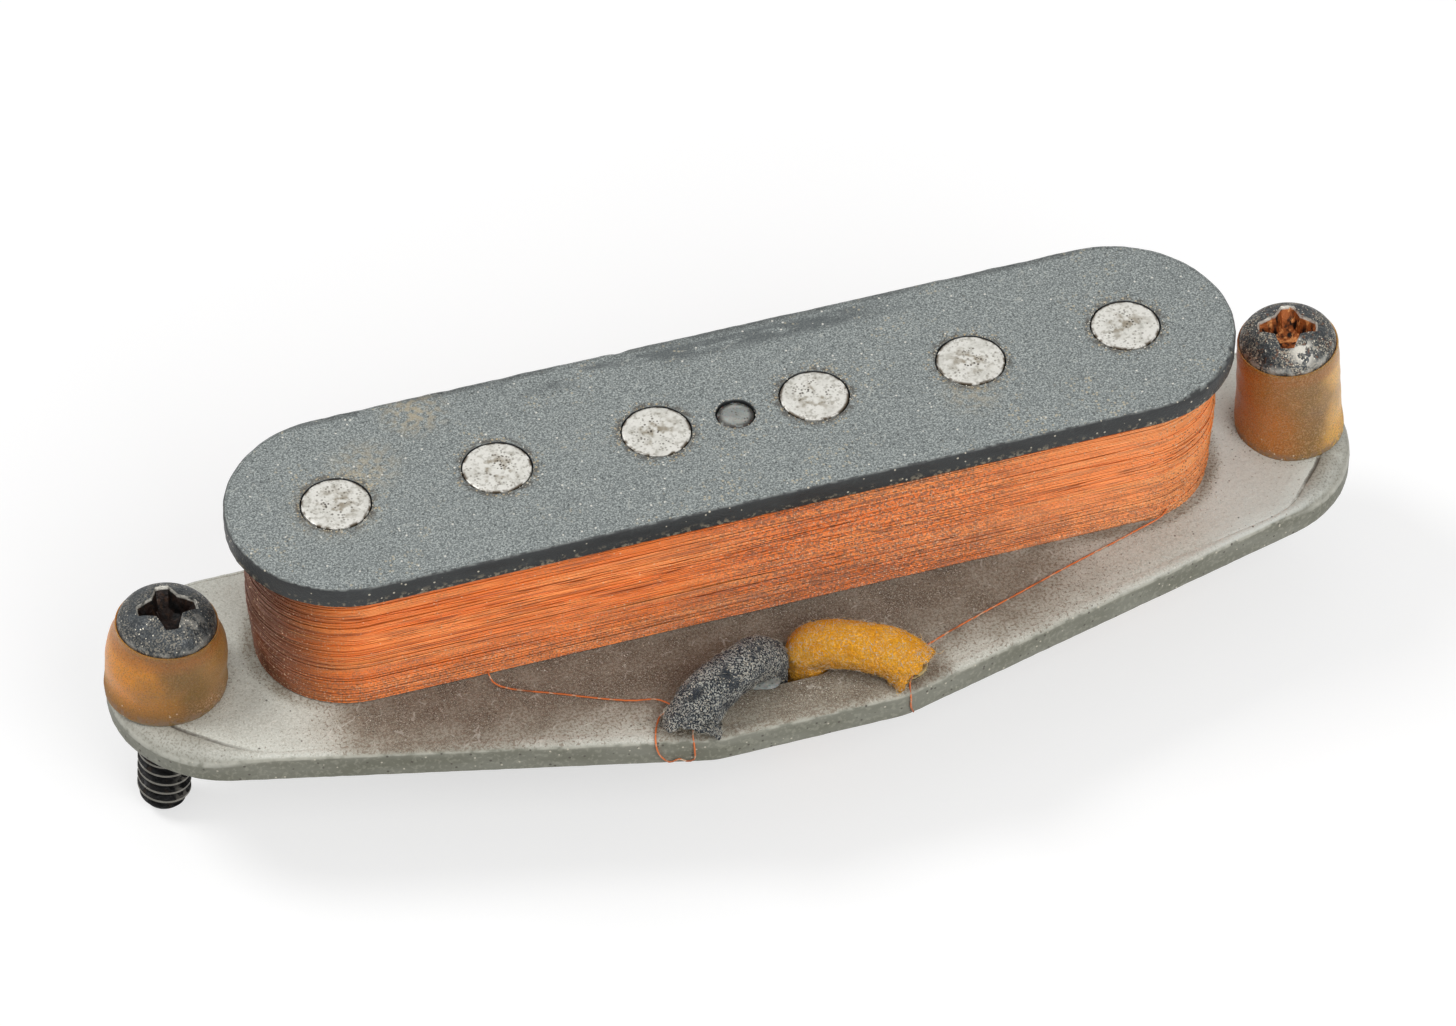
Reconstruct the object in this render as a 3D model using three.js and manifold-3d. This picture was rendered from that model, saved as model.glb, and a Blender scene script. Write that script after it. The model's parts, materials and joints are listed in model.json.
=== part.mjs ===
// Single-coil guitar pickup: two fibre plates held apart by six rod magnets and wound with fine
// wire, two height screws in rubber tubes, and two cloth-covered leads.
// Millimetres. +Z is up, +X runs along the row of magnets, and the deep side of the bottom plate
// faces -Y. The origin is under the middle of the plate, level with the lowest screw tip.
import * as THREE from 'three';
import { mergeVertices } from 'three/addons/utils/BufferGeometryUtils.js';
import Module from 'manifold-3d';

const wasm = await Module();
wasm.setup();

// Clearances
const fitGap = 0.3;
const cutOverrun = 1;

// Magnets
const magnetCount = 6;
const magnetSpacing = 10.5;
const magnetRadius = 2.2;
const magnetLength = 15.2;
const magnetBevel = 0.15;

// Coil: a plain inner mass with an outer layer of turns, as deep as this round the magnets
const coilSideDepth = 3.8;
const coilEndDepth = 3.45;
const coilHeight = 10.4;
const turnCount = 10;
const turnDiameter = 0.5;

// Top plate, with its lips past the coil
const topPlateSideLip = 1.4;
const topPlateEndLip = 1.1;
const topPlateThickness = 1.6;
const topPlateBevel = 0.2;
const waxHoleRadius = 1.27;
const waxRecess = 0.25;
const waxCrown = 0.2;
const waxDepth = 1.1;

// Bottom plate, with its margins past the screws and past the eyelets
const bottomPlateThickness = 2;
const bottomPlateBevel = 0.35;
const bottomPlateEndRadius = 8.1;
const bottomPlateEndMargin = 3.7;
const bottomPlateFrontMargin = 2.5;
const bottomPlateFrontWidth = 12.7;

// Fine coil wire, where it leaves the coil
const coilWireDiameter = 0.12;
const coilWireLift = 0.42;
const startWireShare = -0.578;
const finishWireShare = 0.82;

// Eyelets and what is soldered in them
const eyeletX = 7;
const eyeletStandOff = 2.5;
const eyeletBore = 0.65;
const eyeletWall = 0.3;
const eyeletFlangeRadius = 1.5;
const eyeletFlangeThickness = 0.25;
const solderRadius = 1.5;
const solderHeight = 1;
const solderProfileShares = [[0, 1], [0.5, 0.9], [0.85, 0.5], [1, 0], [0, 0]];
const conductorDiameter = 0.7;

// Cloth-covered leads
const blackLeadDiameter = 2.4;
const yellowLeadDiameter = 2.7;
const leadGap = 0.2;
const leadHoleStandOff = 4.5;
const archHeight = 2.05;
const archBow = 0.6;
const archAlongShares = [0, 0, 0, 0.1, 0.32, 0.58, 0.84, 1.04];
const archHeightShares = [0, 0.25, 0.6, 0.9, 1, 0.98];
const archBowShares = [0, 0, 0, 0.1, 0.5, 0.8, 1, 1];
const leadTipLength = 6;

// Height screws, 6-32 thread, cut to 5/8 inch under the head
const screwStandOff = 4.8;
const screwLength = 15.875;
const threadPitch = 0.79375;
const threadMajorRadius = 1.75;
const threadDepth = 0.39;
const screwHeadRadius = 3.15;
const screwHeadRim = 0.35;
const screwHeadCrown = 1.75;
const screwTipChamfer = 0.5;
const recessSpan = 3.9;
const recessFloorSpan = 1.5;
const recessWing = 0.95;
const recessDepth = 1.6;
const leftHeadHeight = 4.9;
const rightHeadHeight = 7.2;
const screwLeanDegrees = 4;

// Rubber tubes, with the outer radius at shares of the height from the foot to the head
const tubeHeightShares = [0, 0.06, 0.2, 0.4, 0.6, 0.8, 0.93, 1];
const leftTubeRadii = [3.84, 3.95, 3.86, 3.88, 3.86, 3.7, 3.42, 3.2];
const rightTubeRadii = [3.55, 3.62, 3.5, 3.4, 3.38, 3.36, 3.34, 3.26];

// Hank of the two leads, lying under and behind the plate; the leads run side by side in it
const hankRun = 40;
const hankFoldRadius = 8.95;
const hankPassGap = 0.8;
const hankX = 4;
const hankReach = 8.9;
const hankFoldSteps = 12;
const hankRunSteps = 14;
const hankStartX = 2.45;
const hankEndReach = 0.95;
const hankEndSpread = 1.2;
const floorGap = 0.05;
const tailBend = 5.4;
const tailBendShares = [1 / 3, 2 / 3, 1];
const tailTurnShares = [0, 0.25, 0.5, 0.75];
const tieWidth = 1.6;
const tieThickness = 0.4;
const tieHumpReach = 9;

// Facet counts
const roundSides = 24;
const plateArcSteps = 9;
const threadSides = 10;
const tubeSides = 24;
const smallSides = 16;
const turnEndSteps = 7;
const turnStraightSteps = 5;
const wireSides = 6;
const fineWireSides = 5;
const cordSides = 8;
const fineWireSteps = 40;
const archSteps = 22;
const tailSteps = 16;
const tipSteps = 3;
const bevelSteps = 1;
const crownSteps = 5;

// Worked out from the sizes above
const lean = THREE.MathUtils.degToRad(screwLeanDegrees);
const firstMagnetX = -magnetSpacing * (magnetCount - 1) / 2;
const coreOpening = magnetRadius + fitGap;
const coilHalfWidth = coreOpening + coilSideDepth;
const coilHalfLength = coreOpening + coilEndDepth - firstMagnetX;
const topPlateHalfWidth = coilHalfWidth + topPlateSideLip;
const topPlateHalfLength = coilHalfLength + topPlateEndLip;
const screwX = topPlateHalfLength + screwStandOff;
const bottomPlateHalfLength = screwX + bottomPlateEndMargin;
const leadHoleReach = coilHalfWidth + leadHoleStandOff;
const eyeletReach = leadHoleReach + eyeletStandOff;
const frontReach = eyeletReach + bottomPlateFrontMargin;
const wireReach = coilWireLift + coilWireDiameter / 2;
const rowY = (frontReach + wireReach - topPlateHalfWidth) / 2;
const screwY = rowY + topPlateHalfWidth - bottomPlateEndRadius;
const screwTipRadius = threadMajorRadius - screwTipChamfer;
const leftHeadLocal = bottomPlateThickness / 2 / Math.cos(lean) + leftHeadHeight / Math.cos(lean);
const rightHeadLocal = bottomPlateThickness / 2 / Math.cos(lean) + rightHeadHeight / Math.cos(lean);
const plateMidZ = (screwLength - Math.min(leftHeadLocal, rightHeadLocal)) * Math.cos(lean)
  + screwTipRadius * Math.sin(lean);
const plateBottomZ = plateMidZ - bottomPlateThickness / 2;
const plateTopZ = plateMidZ + bottomPlateThickness / 2;
const topPlateBottomZ = plateTopZ + coilHeight;
const topFaceZ = topPlateBottomZ + topPlateThickness;
const magnetHoleRadius = magnetRadius + fitGap;
const screwHoleRadius = threadMajorRadius + fitGap;
const widestLead = Math.max(blackLeadDiameter, yellowLeadDiameter);
const leadHoleRadius = widestLead / 2 + fitGap;
const leadHoleX = (widestLead + leadGap) / 2;
const archEndHeight = eyeletFlangeThickness + fitGap + widestLead / 2;
const leadSideStep = (blackLeadDiameter + yellowLeadDiameter) / 2 + fitGap;
const hankPassStep = 2 * leadSideStep + hankPassGap - fitGap;
const tieX = hankStartX + tieWidth / 2;
const hankEndX = hankStartX + tieWidth + hankEndReach;
const eyeletBarrelRadius = eyeletBore + eyeletWall;
const eyeletY = rowY - eyeletReach;
const leadHoleY = rowY - leadHoleReach;
const frontEdgeY = rowY - frontReach;
const hankY = rowY + hankReach;

function finish(color, roughness, metalness = 0) {
  return new THREE.MeshStandardMaterial({ color, roughness, metalness });
}

const paints = {
  blackFibre: finish('#5d6364', 0.8),
  greyFibre: finish('#a6a496', 0.85),
  magnet: finish('#c9c8c0', 0.45, 0.9),
  enamelWire: finish('#d06a33', 0.4, 0.5),
  brass: finish('#b9a36a', 0.4, 0.9),
  solder: finish('#b4b4b0', 0.35, 0.9),
  tinnedCopper: finish('#bcb6a8', 0.4, 0.8),
  blackCloth: finish('#45474a', 0.95),
  yellowCloth: finish('#dca33d', 0.95),
  wax: finish('#8f9290', 0.5),
  screwSteel: finish('#4a4c4e', 0.5, 0.7),
  latex: finish('#a87440', 0.55),
  tieThread: finish('#d8cfb8', 0.9),
};

// Welds a geometry's corners, drops the triangles that close up, and turns its faces outwards.
function closeUp(geometry) {
  const bare = new THREE.BufferGeometry();
  bare.setAttribute('position', geometry.getAttribute('position').clone());
  bare.setIndex(geometry.getIndex());
  const welded = mergeVertices(bare);
  const index = Array.from(welded.getIndex().array);
  const spot = welded.getAttribute('position');
  const corners = [0, 1, 2].map(() => new THREE.Vector3());
  const kept = [];
  let volume = 0;
  for (let i = 0; i < index.length; i += 3) {
    const [a, b, c] = index.slice(i, i + 3);
    if (a === b || b === c || c === a) continue;
    kept.push(a, b, c);
    [a, b, c].forEach((v, k) => corners[k].fromBufferAttribute(spot, v));
    volume += corners[0].dot(corners[1].clone().cross(corners[2]));
  }
  if (volume < 0) {
    for (let i = 0; i < kept.length; i += 3) [kept[i], kept[i + 1]] = [kept[i + 1], kept[i]];
  }
  welded.setIndex(kept);
  return welded;
}

function toSolid(geometry) {
  const closed = closeUp(geometry);
  return new wasm.Manifold(new wasm.Mesh({
    numProp: 3,
    vertProperties: new Float32Array(closed.getAttribute('position').array),
    triVerts: new Uint32Array(closed.getIndex().array),
  }));
}

function fromSolid(solid) {
  const cut = solid.getMesh();
  const geometry = new THREE.BufferGeometry();
  const spots = new Float32Array(cut.numVert * 3);
  for (let i = 0; i < cut.numVert; i++) {
    for (let k = 0; k < 3; k++) spots[i * 3 + k] = cut.vertProperties[i * cut.numProp + k];
  }
  geometry.setAttribute('position', new THREE.BufferAttribute(spots, 3));
  geometry.setIndex(Array.from(cut.triVerts));
  return geometry;
}

const cutAll = (body, tools) => fromSolid(
  tools.reduce((left, tool) => left.subtract(toSolid(tool)), toSolid(body)),
);
const joinAll = (bodies) => bodies.map(toSolid).reduce((sum, body) => sum.add(body));

// A turned solid about Z from [radius, height] pairs that start and end on the axis or close.
function turned(profile, sides = roundSides) {
  const points = profile.map(([radius, height]) => new THREE.Vector2(radius, height));
  return new THREE.LatheGeometry(points, sides).rotateX(Math.PI / 2);
}

function rod(radius, fromZ, toZ, sides = roundSides) {
  return turned([[0, fromZ], [radius, fromZ], [radius, toZ], [0, toZ]], sides);
}

// A flat outline with round ends, long in X.
function stadium(halfLength, radius) {
  const shape = new THREE.Shape();
  const centre = halfLength - radius;
  shape.absarc(centre, 0, radius, -Math.PI / 2, Math.PI / 2);
  shape.absarc(-centre, 0, radius, Math.PI / 2, 3 * Math.PI / 2);
  shape.closePath();
  return shape;
}

function slab(shape, thickness, bevel = 0) {
  return new THREE.ExtrudeGeometry(shape, {
    depth: thickness - 2 * bevel,
    curveSegments: plateArcSteps,
    bevelEnabled: bevel > 0,
    bevelThickness: bevel,
    bevelSize: bevel,
    bevelOffset: -bevel,
    bevelSegments: bevelSteps,
  }).translate(0, 0, bevel);
}

// A round section drawn along a smooth curve through the points.
function drawn(points, diameter, sides, steps) {
  const section = new THREE.Shape();
  for (let i = 0; i < sides; i++) {
    const angle = 2 * Math.PI * i / sides;
    const [x, y] = [Math.cos(angle) * diameter / 2, Math.sin(angle) * diameter / 2];
    if (i) section.lineTo(x, y);
    else section.moveTo(x, y);
  }
  section.closePath();
  const spots = points.map((point) => new THREE.Vector3(...point));
  const extrudePath = new THREE.CatmullRomCurve3(spots, false, 'centripetal');
  return new THREE.ExtrudeGeometry(section, { steps, extrudePath });
}

// A tube through level or nearly level rings, each with a centre and a sideways direction.
function laidTube(rings, diameter, sides) {
  const spots = [];
  const index = [];
  rings.forEach(({ at, side }) => {
    for (let k = 0; k < sides; k++) {
      const angle = 2 * Math.PI * (k + 0.5) / sides;
      const across = Math.cos(angle) * diameter / 2;
      spots.push(at[0] + side[0] * across, at[1] + side[1] * across, at[2] + Math.sin(angle) * diameter / 2);
    }
  });
  for (let i = 0; i + 1 < rings.length; i++) {
    for (let k = 0; k < sides; k++) {
      const [a, b] = [i * sides + k, i * sides + (k + 1) % sides];
      index.push(a, b, a + sides, b, b + sides, a + sides);
    }
  }
  const last = (rings.length - 1) * sides;
  for (let k = 1; k + 1 < sides; k++) index.push(0, k + 1, k, last, last + k, last + k + 1);
  const geometry = new THREE.BufferGeometry();
  geometry.setAttribute('position', new THREE.Float32BufferAttribute(spots, 3));
  geometry.setIndex(index);
  return geometry;
}

// The least distance between surface points of rings that lie more than apart rings from each other.
function leastGap(geometry, sides, apart) {
  const spot = geometry.getAttribute('position');
  const [a, b] = [new THREE.Vector3(), new THREE.Vector3()];
  let least = Infinity;
  for (let i = 0; i < spot.count; i++) {
    a.fromBufferAttribute(spot, i);
    for (let j = i + apart * sides; j < spot.count; j++) {
      least = Math.min(least, a.distanceTo(b.fromBufferAttribute(spot, j)));
    }
  }
  return least;
}

const object = new THREE.Group();

function place(name, geometry, paint, parent = object) {
  const mesh = new THREE.Mesh(closeUp(geometry), paint);
  mesh.name = name;
  parent.add(mesh);
  return mesh;
}

// Magnets
function addMagnets() {
  for (let i = 0; i < magnetCount; i++) {
    const bottom = topFaceZ - magnetLength;
    const magnet = place(`pole_magnet_${i + 1}`, turned([
      [0, bottom],
      [magnetRadius - magnetBevel, bottom],
      [magnetRadius, bottom + magnetBevel],
      [magnetRadius, topFaceZ - magnetBevel],
      [magnetRadius - magnetBevel, topFaceZ],
      [0, topFaceZ],
    ]), paints.magnet);
    magnet.position.set(firstMagnetX + i * magnetSpacing, rowY, 0);
  }
}

// Cutting rods for the holes that the magnets pass through
function magnetCuts(fromZ, toZ) {
  const cut = (i) => rod(magnetHoleRadius, fromZ - cutOverrun, toZ + cutOverrun)
    .translate(firstMagnetX + i * magnetSpacing, rowY, 0);
  return Array.from({ length: magnetCount }, (_, i) => cut(i));
}

function addTopPlate() {
  const plate = slab(stadium(topPlateHalfLength, topPlateHalfWidth), topPlateThickness, topPlateBevel)
    .translate(0, rowY, topPlateBottomZ);
  const waxHole = rod(waxHoleRadius, topPlateBottomZ - cutOverrun, topFaceZ + cutOverrun)
    .translate(0, rowY, 0);
  place('top_plate', cutAll(plate, [...magnetCuts(topPlateBottomZ, topFaceZ), waxHole]), paints.blackFibre);
  const waxTop = topFaceZ - waxRecess;
  const waxRadius = waxHoleRadius - fitGap;
  place('wax_plug', turned([
    [0, waxTop - waxDepth],
    [waxRadius, waxTop - waxDepth],
    [waxRadius, waxTop - waxCrown],
    [waxRadius * Math.SQRT1_2, waxTop - waxCrown / 3],
    [0, waxTop],
  ], smallSides), paints.wax).position.set(0, rowY, 0);
}

// The bottom plate's outline: a straight back, round ends, and slanted sides that leave the ends
// smoothly and meet the short straight front.
function bottomOutline() {
  const corner = new THREE.Vector2(bottomPlateFrontWidth / 2, -frontReach);
  const centre = new THREE.Vector2(
    bottomPlateHalfLength - bottomPlateEndRadius,
    topPlateHalfWidth - bottomPlateEndRadius,
  );
  const reach = centre.clone().sub(corner);
  const slant = reach.angle() - Math.asin(bottomPlateEndRadius / reach.length());
  const touch = slant - Math.PI / 2;
  const shape = new THREE.Shape();
  shape.moveTo(-corner.x, corner.y);
  shape.lineTo(corner.x, corner.y);
  shape.absarc(centre.x, centre.y, bottomPlateEndRadius, touch, Math.PI / 2);
  shape.absarc(-centre.x, centre.y, bottomPlateEndRadius, Math.PI / 2, Math.PI - touch);
  shape.closePath();
  return shape;
}

function addBottomPlate() {
  const plate = slab(bottomOutline(), bottomPlateThickness, bottomPlateBevel)
    .translate(0, rowY, plateBottomZ);
  const low = plateBottomZ - cutOverrun;
  const high = plateTopZ + cutOverrun;
  const eyeletCuts = [-1, 1].map((side) => rod(eyeletBarrelRadius + fitGap, low, high)
    .translate(side * eyeletX, eyeletY, 0));
  const leadCut = slab(stadium(leadHoleX + leadHoleRadius, leadHoleRadius), high - low)
    .translate(0, leadHoleY, low);
  const screwCuts = [-1, 1].map((side) => rod(screwHoleRadius, -bottomPlateThickness, bottomPlateThickness)
    .rotateY(-side * lean)
    .translate(side * screwX, screwY, plateMidZ));
  place(
    'bottom_plate',
    cutAll(plate, [...magnetCuts(plateBottomZ, plateTopZ), ...eyeletCuts, leadCut, ...screwCuts]),
    paints.greyFibre,
  );
}

// The inner mass of the coil, open in the middle where the magnets stand
function addCoilCore() {
  const inset = turnDiameter + fitGap;
  const shape = stadium(coilHalfLength - inset, coilHalfWidth - inset);
  shape.holes.push(stadium(coreOpening - firstMagnetX, coreOpening));
  place('coil_core', slab(shape, coilHeight).translate(0, rowY, plateTopZ), paints.enamelWire);
}

// A point of a round-ended loop at a length along it from the right end of its front side
function loopPoint(length, halfStraight, radius) {
  const bow = Math.PI * radius;
  const round = 2 * (bow + 2 * halfStraight);
  const along = ((length % round) + round) % round;
  const half = bow + 2 * halfStraight;
  const back = along >= half;
  const rest = back ? along - half : along;
  const mirror = back ? -1 : 1;
  if (rest < bow) {
    const angle = rest / radius - Math.PI / 2;
    const side = [Math.cos(angle) * mirror, Math.sin(angle) * mirror];
    return { at: [mirror * halfStraight + side[0] * radius, side[1] * radius], side };
  }
  return { at: [mirror * (halfStraight - (rest - bow)), mirror * radius], side: [0, mirror] };
}

// The outer layer of turns: one tube that climbs evenly from the bottom plate to the top plate
function addOuterTurns() {
  const radius = coilHalfWidth - turnDiameter / 2;
  const halfStraight = coilHalfLength - coilHalfWidth;
  const bow = Math.PI * radius;
  const round = 2 * (bow + 2 * halfStraight);
  const rise = coilHeight - turnDiameter - 2 * fitGap;
  const lengths = [-turnDiameter];
  for (let turn = 0; turn < turnCount; turn++) {
    for (let half = 0; half < 2; half++) {
      const start = turn * round + half * round / 2;
      for (let i = 0; i < turnEndSteps; i++) lengths.push(start + bow * i / turnEndSteps);
      for (let i = 0; i < turnStraightSteps; i++) {
        lengths.push(start + bow + 2 * halfStraight * i / turnStraightSteps);
      }
    }
  }
  lengths.push(turnCount * round - turnDiameter);
  const rings = lengths.map((length) => {
    const { at, side } = loopPoint(length, halfStraight, radius);
    const climbed = Math.max(0, length) / (turnCount * round);
    return { at: [at[0], rowY + at[1], plateTopZ + fitGap + turnDiameter / 2 + rise * climbed], side };
  });
  const tube = laidTube(rings, turnDiameter, wireSides);
  const loopRings = 2 * (turnEndSteps + turnStraightSteps);
  const gap = leastGap(tube, wireSides, loopRings / 2);
  console.log('coil_outer_turns least gap to itself, mm:', gap.toFixed(3));
  place('coil_outer_turns', tube, paints.enamelWire);
}

// Fine wires from the coil to the eyelets, and on over the front edge
function addCoilWires() {
  const low = plateTopZ + coilWireLift;
  const under = plateBottomZ - coilWireLift;
  const beside = coilHalfWidth + coilWireLift;
  const startWireX = coilHalfLength * startWireShare;
  const finishWireX = coilHalfLength * finishWireShare;
  const clear = eyeletFlangeRadius + fitGap + coilWireDiameter;
  const lip = frontEdgeY - coilWireLift;
  place('coil_finish_wire', drawn([
    [finishWireX, rowY - beside, low],
    [(finishWireX + eyeletX + clear) / 2, (rowY - beside + eyeletY + clear / 2) / 2, low],
    [eyeletX + clear, eyeletY + clear / 2, low],
    [eyeletX + clear, eyeletY - clear / 2, low],
    [eyeletX + clear / 3, lip + 2 * coilWireLift, low],
    [eyeletX, lip, plateTopZ - bottomPlateBevel],
    [eyeletX, lip, plateBottomZ + bottomPlateBevel],
    [eyeletX, lip + 2 * coilWireLift, under],
  ], coilWireDiameter, fineWireSides, fineWireSteps), paints.enamelWire);
  const outX = -eyeletX - 1.5 * clear;
  place('coil_start_wire', drawn([
    [startWireX, rowY - beside, low],
    [(startWireX - eyeletX - clear) / 2, (rowY - beside + eyeletY + clear / 2) / 2, low],
    [-eyeletX - clear, eyeletY + clear / 2, low],
    [outX, eyeletY - clear / 3, low],
    [outX, lip + clear, low],
    [outX, lip + coilWireLift, plateTopZ - bottomPlateBevel],
    [outX + coilWireLift, lip + coilWireLift, plateBottomZ],
    [-eyeletX - clear / 2, lip, plateBottomZ],
    [-eyeletX - clear / 2, lip, plateTopZ - bottomPlateBevel],
    [-eyeletX - clear / 3, lip + 2 * coilWireLift, low],
  ], coilWireDiameter, fineWireSides, fineWireSteps), paints.enamelWire);
}

// Eyelet, solder joint and conductor under the outer end of one lead
function addEyelet(side, colour) {
  const x = side * eyeletX;
  const lowFlange = plateBottomZ - eyeletFlangeThickness;
  const highFlange = plateTopZ + eyeletFlangeThickness;
  place(`${colour}_lead_eyelet`, turned([
    [eyeletBore, lowFlange],
    [eyeletFlangeRadius, lowFlange],
    [eyeletFlangeRadius, plateBottomZ],
    [eyeletBarrelRadius, plateBottomZ],
    [eyeletBarrelRadius, plateTopZ],
    [eyeletFlangeRadius, plateTopZ],
    [eyeletFlangeRadius, highFlange],
    [eyeletBore, highFlange],
    [eyeletBore, lowFlange],
  ], smallSides), paints.brass).position.set(x, eyeletY, 0);
  const domeTop = lowFlange - fitGap;
  const dome = solderProfileShares.map(([out, down]) => [solderRadius * out, domeTop - solderHeight * down]);
  place(`${colour}_solder_joint`, turned(dome, smallSides), paints.solder).position.set(x, eyeletY, 0);
  place(`${colour}_conductor`, drawn([
    [x, eyeletY, lowFlange],
    [x, eyeletY, plateMidZ],
    [x, eyeletY, plateTopZ + eyeletFlangeThickness],
  ], conductorDiameter, wireSides, tipSteps), paints.tinnedCopper);
}

// One lead's arch over the plate: up through its hole and out to its eyelet, bowed to the front
function addArch(side, colour, diameter, cloth) {
  const heights = [
    plateBottomZ,
    ...archHeightShares.map((share) => plateTopZ + archHeight * share),
    plateTopZ + archEndHeight,
  ];
  const points = archAlongShares.map((share, i) => [
    side * THREE.MathUtils.lerp(leadHoleX, eyeletX, share),
    THREE.MathUtils.lerp(leadHoleY, eyeletY, share) - archBow * archBowShares[i],
    heights[i],
  ]);
  place(`${colour}_lead_arch`, drawn(points, diameter, cordSides, archSteps), cloth);
}

// How far the hank is lifted over its tie at a place along X
function tieLift(x) {
  const away = Math.min(1, Math.abs(x - tieX) / tieHumpReach);
  return (tieThickness + fitGap - floorGap) * (1 + Math.cos(Math.PI * away)) / 2;
}

// The middle line of the paired leads in the hank: in from the tail at the waist, round the right
// fold, back through the waist, round the left fold and out past the tie.
function hankLine() {
  const half = hankRun / 2;
  const ease = (x) => (1 - Math.cos(Math.PI * Math.abs(x) / half)) / 2;
  const line = [];
  for (let i = 0; i <= hankRunSteps / 2; i++) {
    const x = THREE.MathUtils.lerp(hankStartX, half, 2 * i / hankRunSteps);
    line.push([x, -hankPassStep - (hankFoldRadius - hankPassStep) * ease(x)]);
  }
  for (let i = 1; i < hankFoldSteps; i++) {
    const angle = Math.PI * (i / hankFoldSteps - 0.5);
    line.push([half + hankFoldRadius * Math.cos(angle), hankFoldRadius * Math.sin(angle)]);
  }
  for (let i = 0; i <= hankRunSteps; i++) {
    const x = half * (1 - 2 * i / hankRunSteps);
    line.push([x, Math.sign(x) * hankFoldRadius * ease(x)]);
  }
  for (let i = 1; i < hankFoldSteps; i++) {
    const angle = Math.PI * (1.5 - i / hankFoldSteps);
    line.push([-half + hankFoldRadius * Math.cos(angle), hankFoldRadius * Math.sin(angle)]);
  }
  for (let i = 0; i <= hankRunSteps / 2; i++) {
    const x = -half * (1 - 2 * i / hankRunSteps);
    line.push([x, hankPassStep + (hankFoldRadius - hankPassStep) * ease(x)]);
  }
  for (const x of [hankEndX / 2, hankEndX]) {
    line.push([x, hankPassStep + hankFoldRadius * hankEndSpread * ease(x)]);
  }
  return line;
}

// Rings of one lead, a side step to the left or right of the hank's middle line
function hankRings(side, diameter) {
  const line = hankLine();
  return line.map(([x, y], i) => {
    const [before, after] = [line[Math.max(0, i - 1)], line[Math.min(line.length - 1, i + 1)]];
    const heading = new THREE.Vector2(after[0] - before[0], i === 0 ? 0 : after[1] - before[1]).normalize();
    const left = [-heading.y, heading.x];
    const shift = side * leadSideStep / 2;
    const z = diameter / 2 + floorGap + tieLift(x);
    return { at: [hankX + x + left[0] * shift, hankY + y + left[1] * shift, z], side: left, heading };
  });
}

// The free stretch of one lead: down from its hole in two bends with a slope between them, which
// keep it behind the plate's front, and along the surface round to the hank
function tailPoints(side, diameter) {
  const x = -side * leadHoleX;
  const [startX, startY, startZ] = hankRings(side, diameter)[0].at;
  const radius = startX - x;
  const floor = diameter / 2 + floorGap;
  const landingY = startY - radius;
  const slope = Math.atan2(plateBottomZ - floor - tailBend, landingY - leadHoleY - tailBend);
  const upperBend = tailBendShares.map((share) => share * (Math.PI / 2 - slope)).map((angle) => [
    x,
    leadHoleY + tailBend * (1 - Math.cos(angle)),
    plateBottomZ - tailBend * Math.sin(angle),
  ]);
  const lowerBend = tailBendShares.toReversed().map((share) => share * slope).map((angle) => [
    x,
    landingY - tailBend * Math.sin(angle),
    floor + tailBend * (1 - Math.cos(angle)),
  ]);
  const turn = tailTurnShares.map((share) => [
    startX - radius * Math.cos(share * Math.PI / 2),
    landingY + radius * Math.sin(share * Math.PI / 2),
    THREE.MathUtils.lerp(floor, startZ, share),
  ]);
  return [
    [x, leadHoleY, plateBottomZ - fitGap],
    ...upperBend,
    ...lowerBend,
    ...turn,
    [startX - fitGap, startY, startZ],
  ];
}

function addFreeLead(side, colour, diameter, cloth) {
  place(`${colour}_lead_tail`, drawn(tailPoints(side, diameter), diameter, cordSides, tailSteps), cloth);
  const rings = hankRings(side, diameter);
  const tube = laidTube(rings, diameter, wireSides);
  const gap = leastGap(tube, wireSides, hankFoldSteps);
  console.log(`${colour}_lead_hank least gap to itself, mm:`, gap.toFixed(3));
  place(`${colour}_lead_hank`, tube, cloth);
  const { at, heading } = rings.at(-1);
  const tip = [0, 0.5, 1].map((share) => {
    const out = fitGap + leadTipLength * share;
    return [at[0] + heading.x * out, at[1] + heading.y * out, at[2]];
  });
  place(`${colour}_lead_tip`, drawn(tip, conductorDiameter, wireSides, tipSteps), paints.tinnedCopper);
}

// The tie: a flat band closed round all the passes of the hank
function addTie() {
  const bandInside = widestLead / 2 + fitGap;
  const ys = [-1, 1].flatMap((side) => hankRings(side, widestLead)
    .filter(({ at }) => Math.abs(at[0] - hankX - tieX) < hankRun / hankRunSteps)
    .map(({ at }) => at[1]));
  const halfSpan = (Math.max(...ys) - Math.min(...ys)) / 2 + bandInside;
  const middle = (Math.max(...ys) + Math.min(...ys)) / 2;
  const band = stadium(halfSpan + tieThickness, bandInside + tieThickness);
  band.holes.push(stadium(halfSpan, bandInside));
  const geometry = slab(band, tieWidth)
    .rotateX(Math.PI / 2)
    .rotateZ(Math.PI / 2)
    .translate(hankX + tieX - tieWidth / 2, middle, bandInside + tieThickness);
  place('lead_tie', geometry, paints.tieThread);
}

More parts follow.
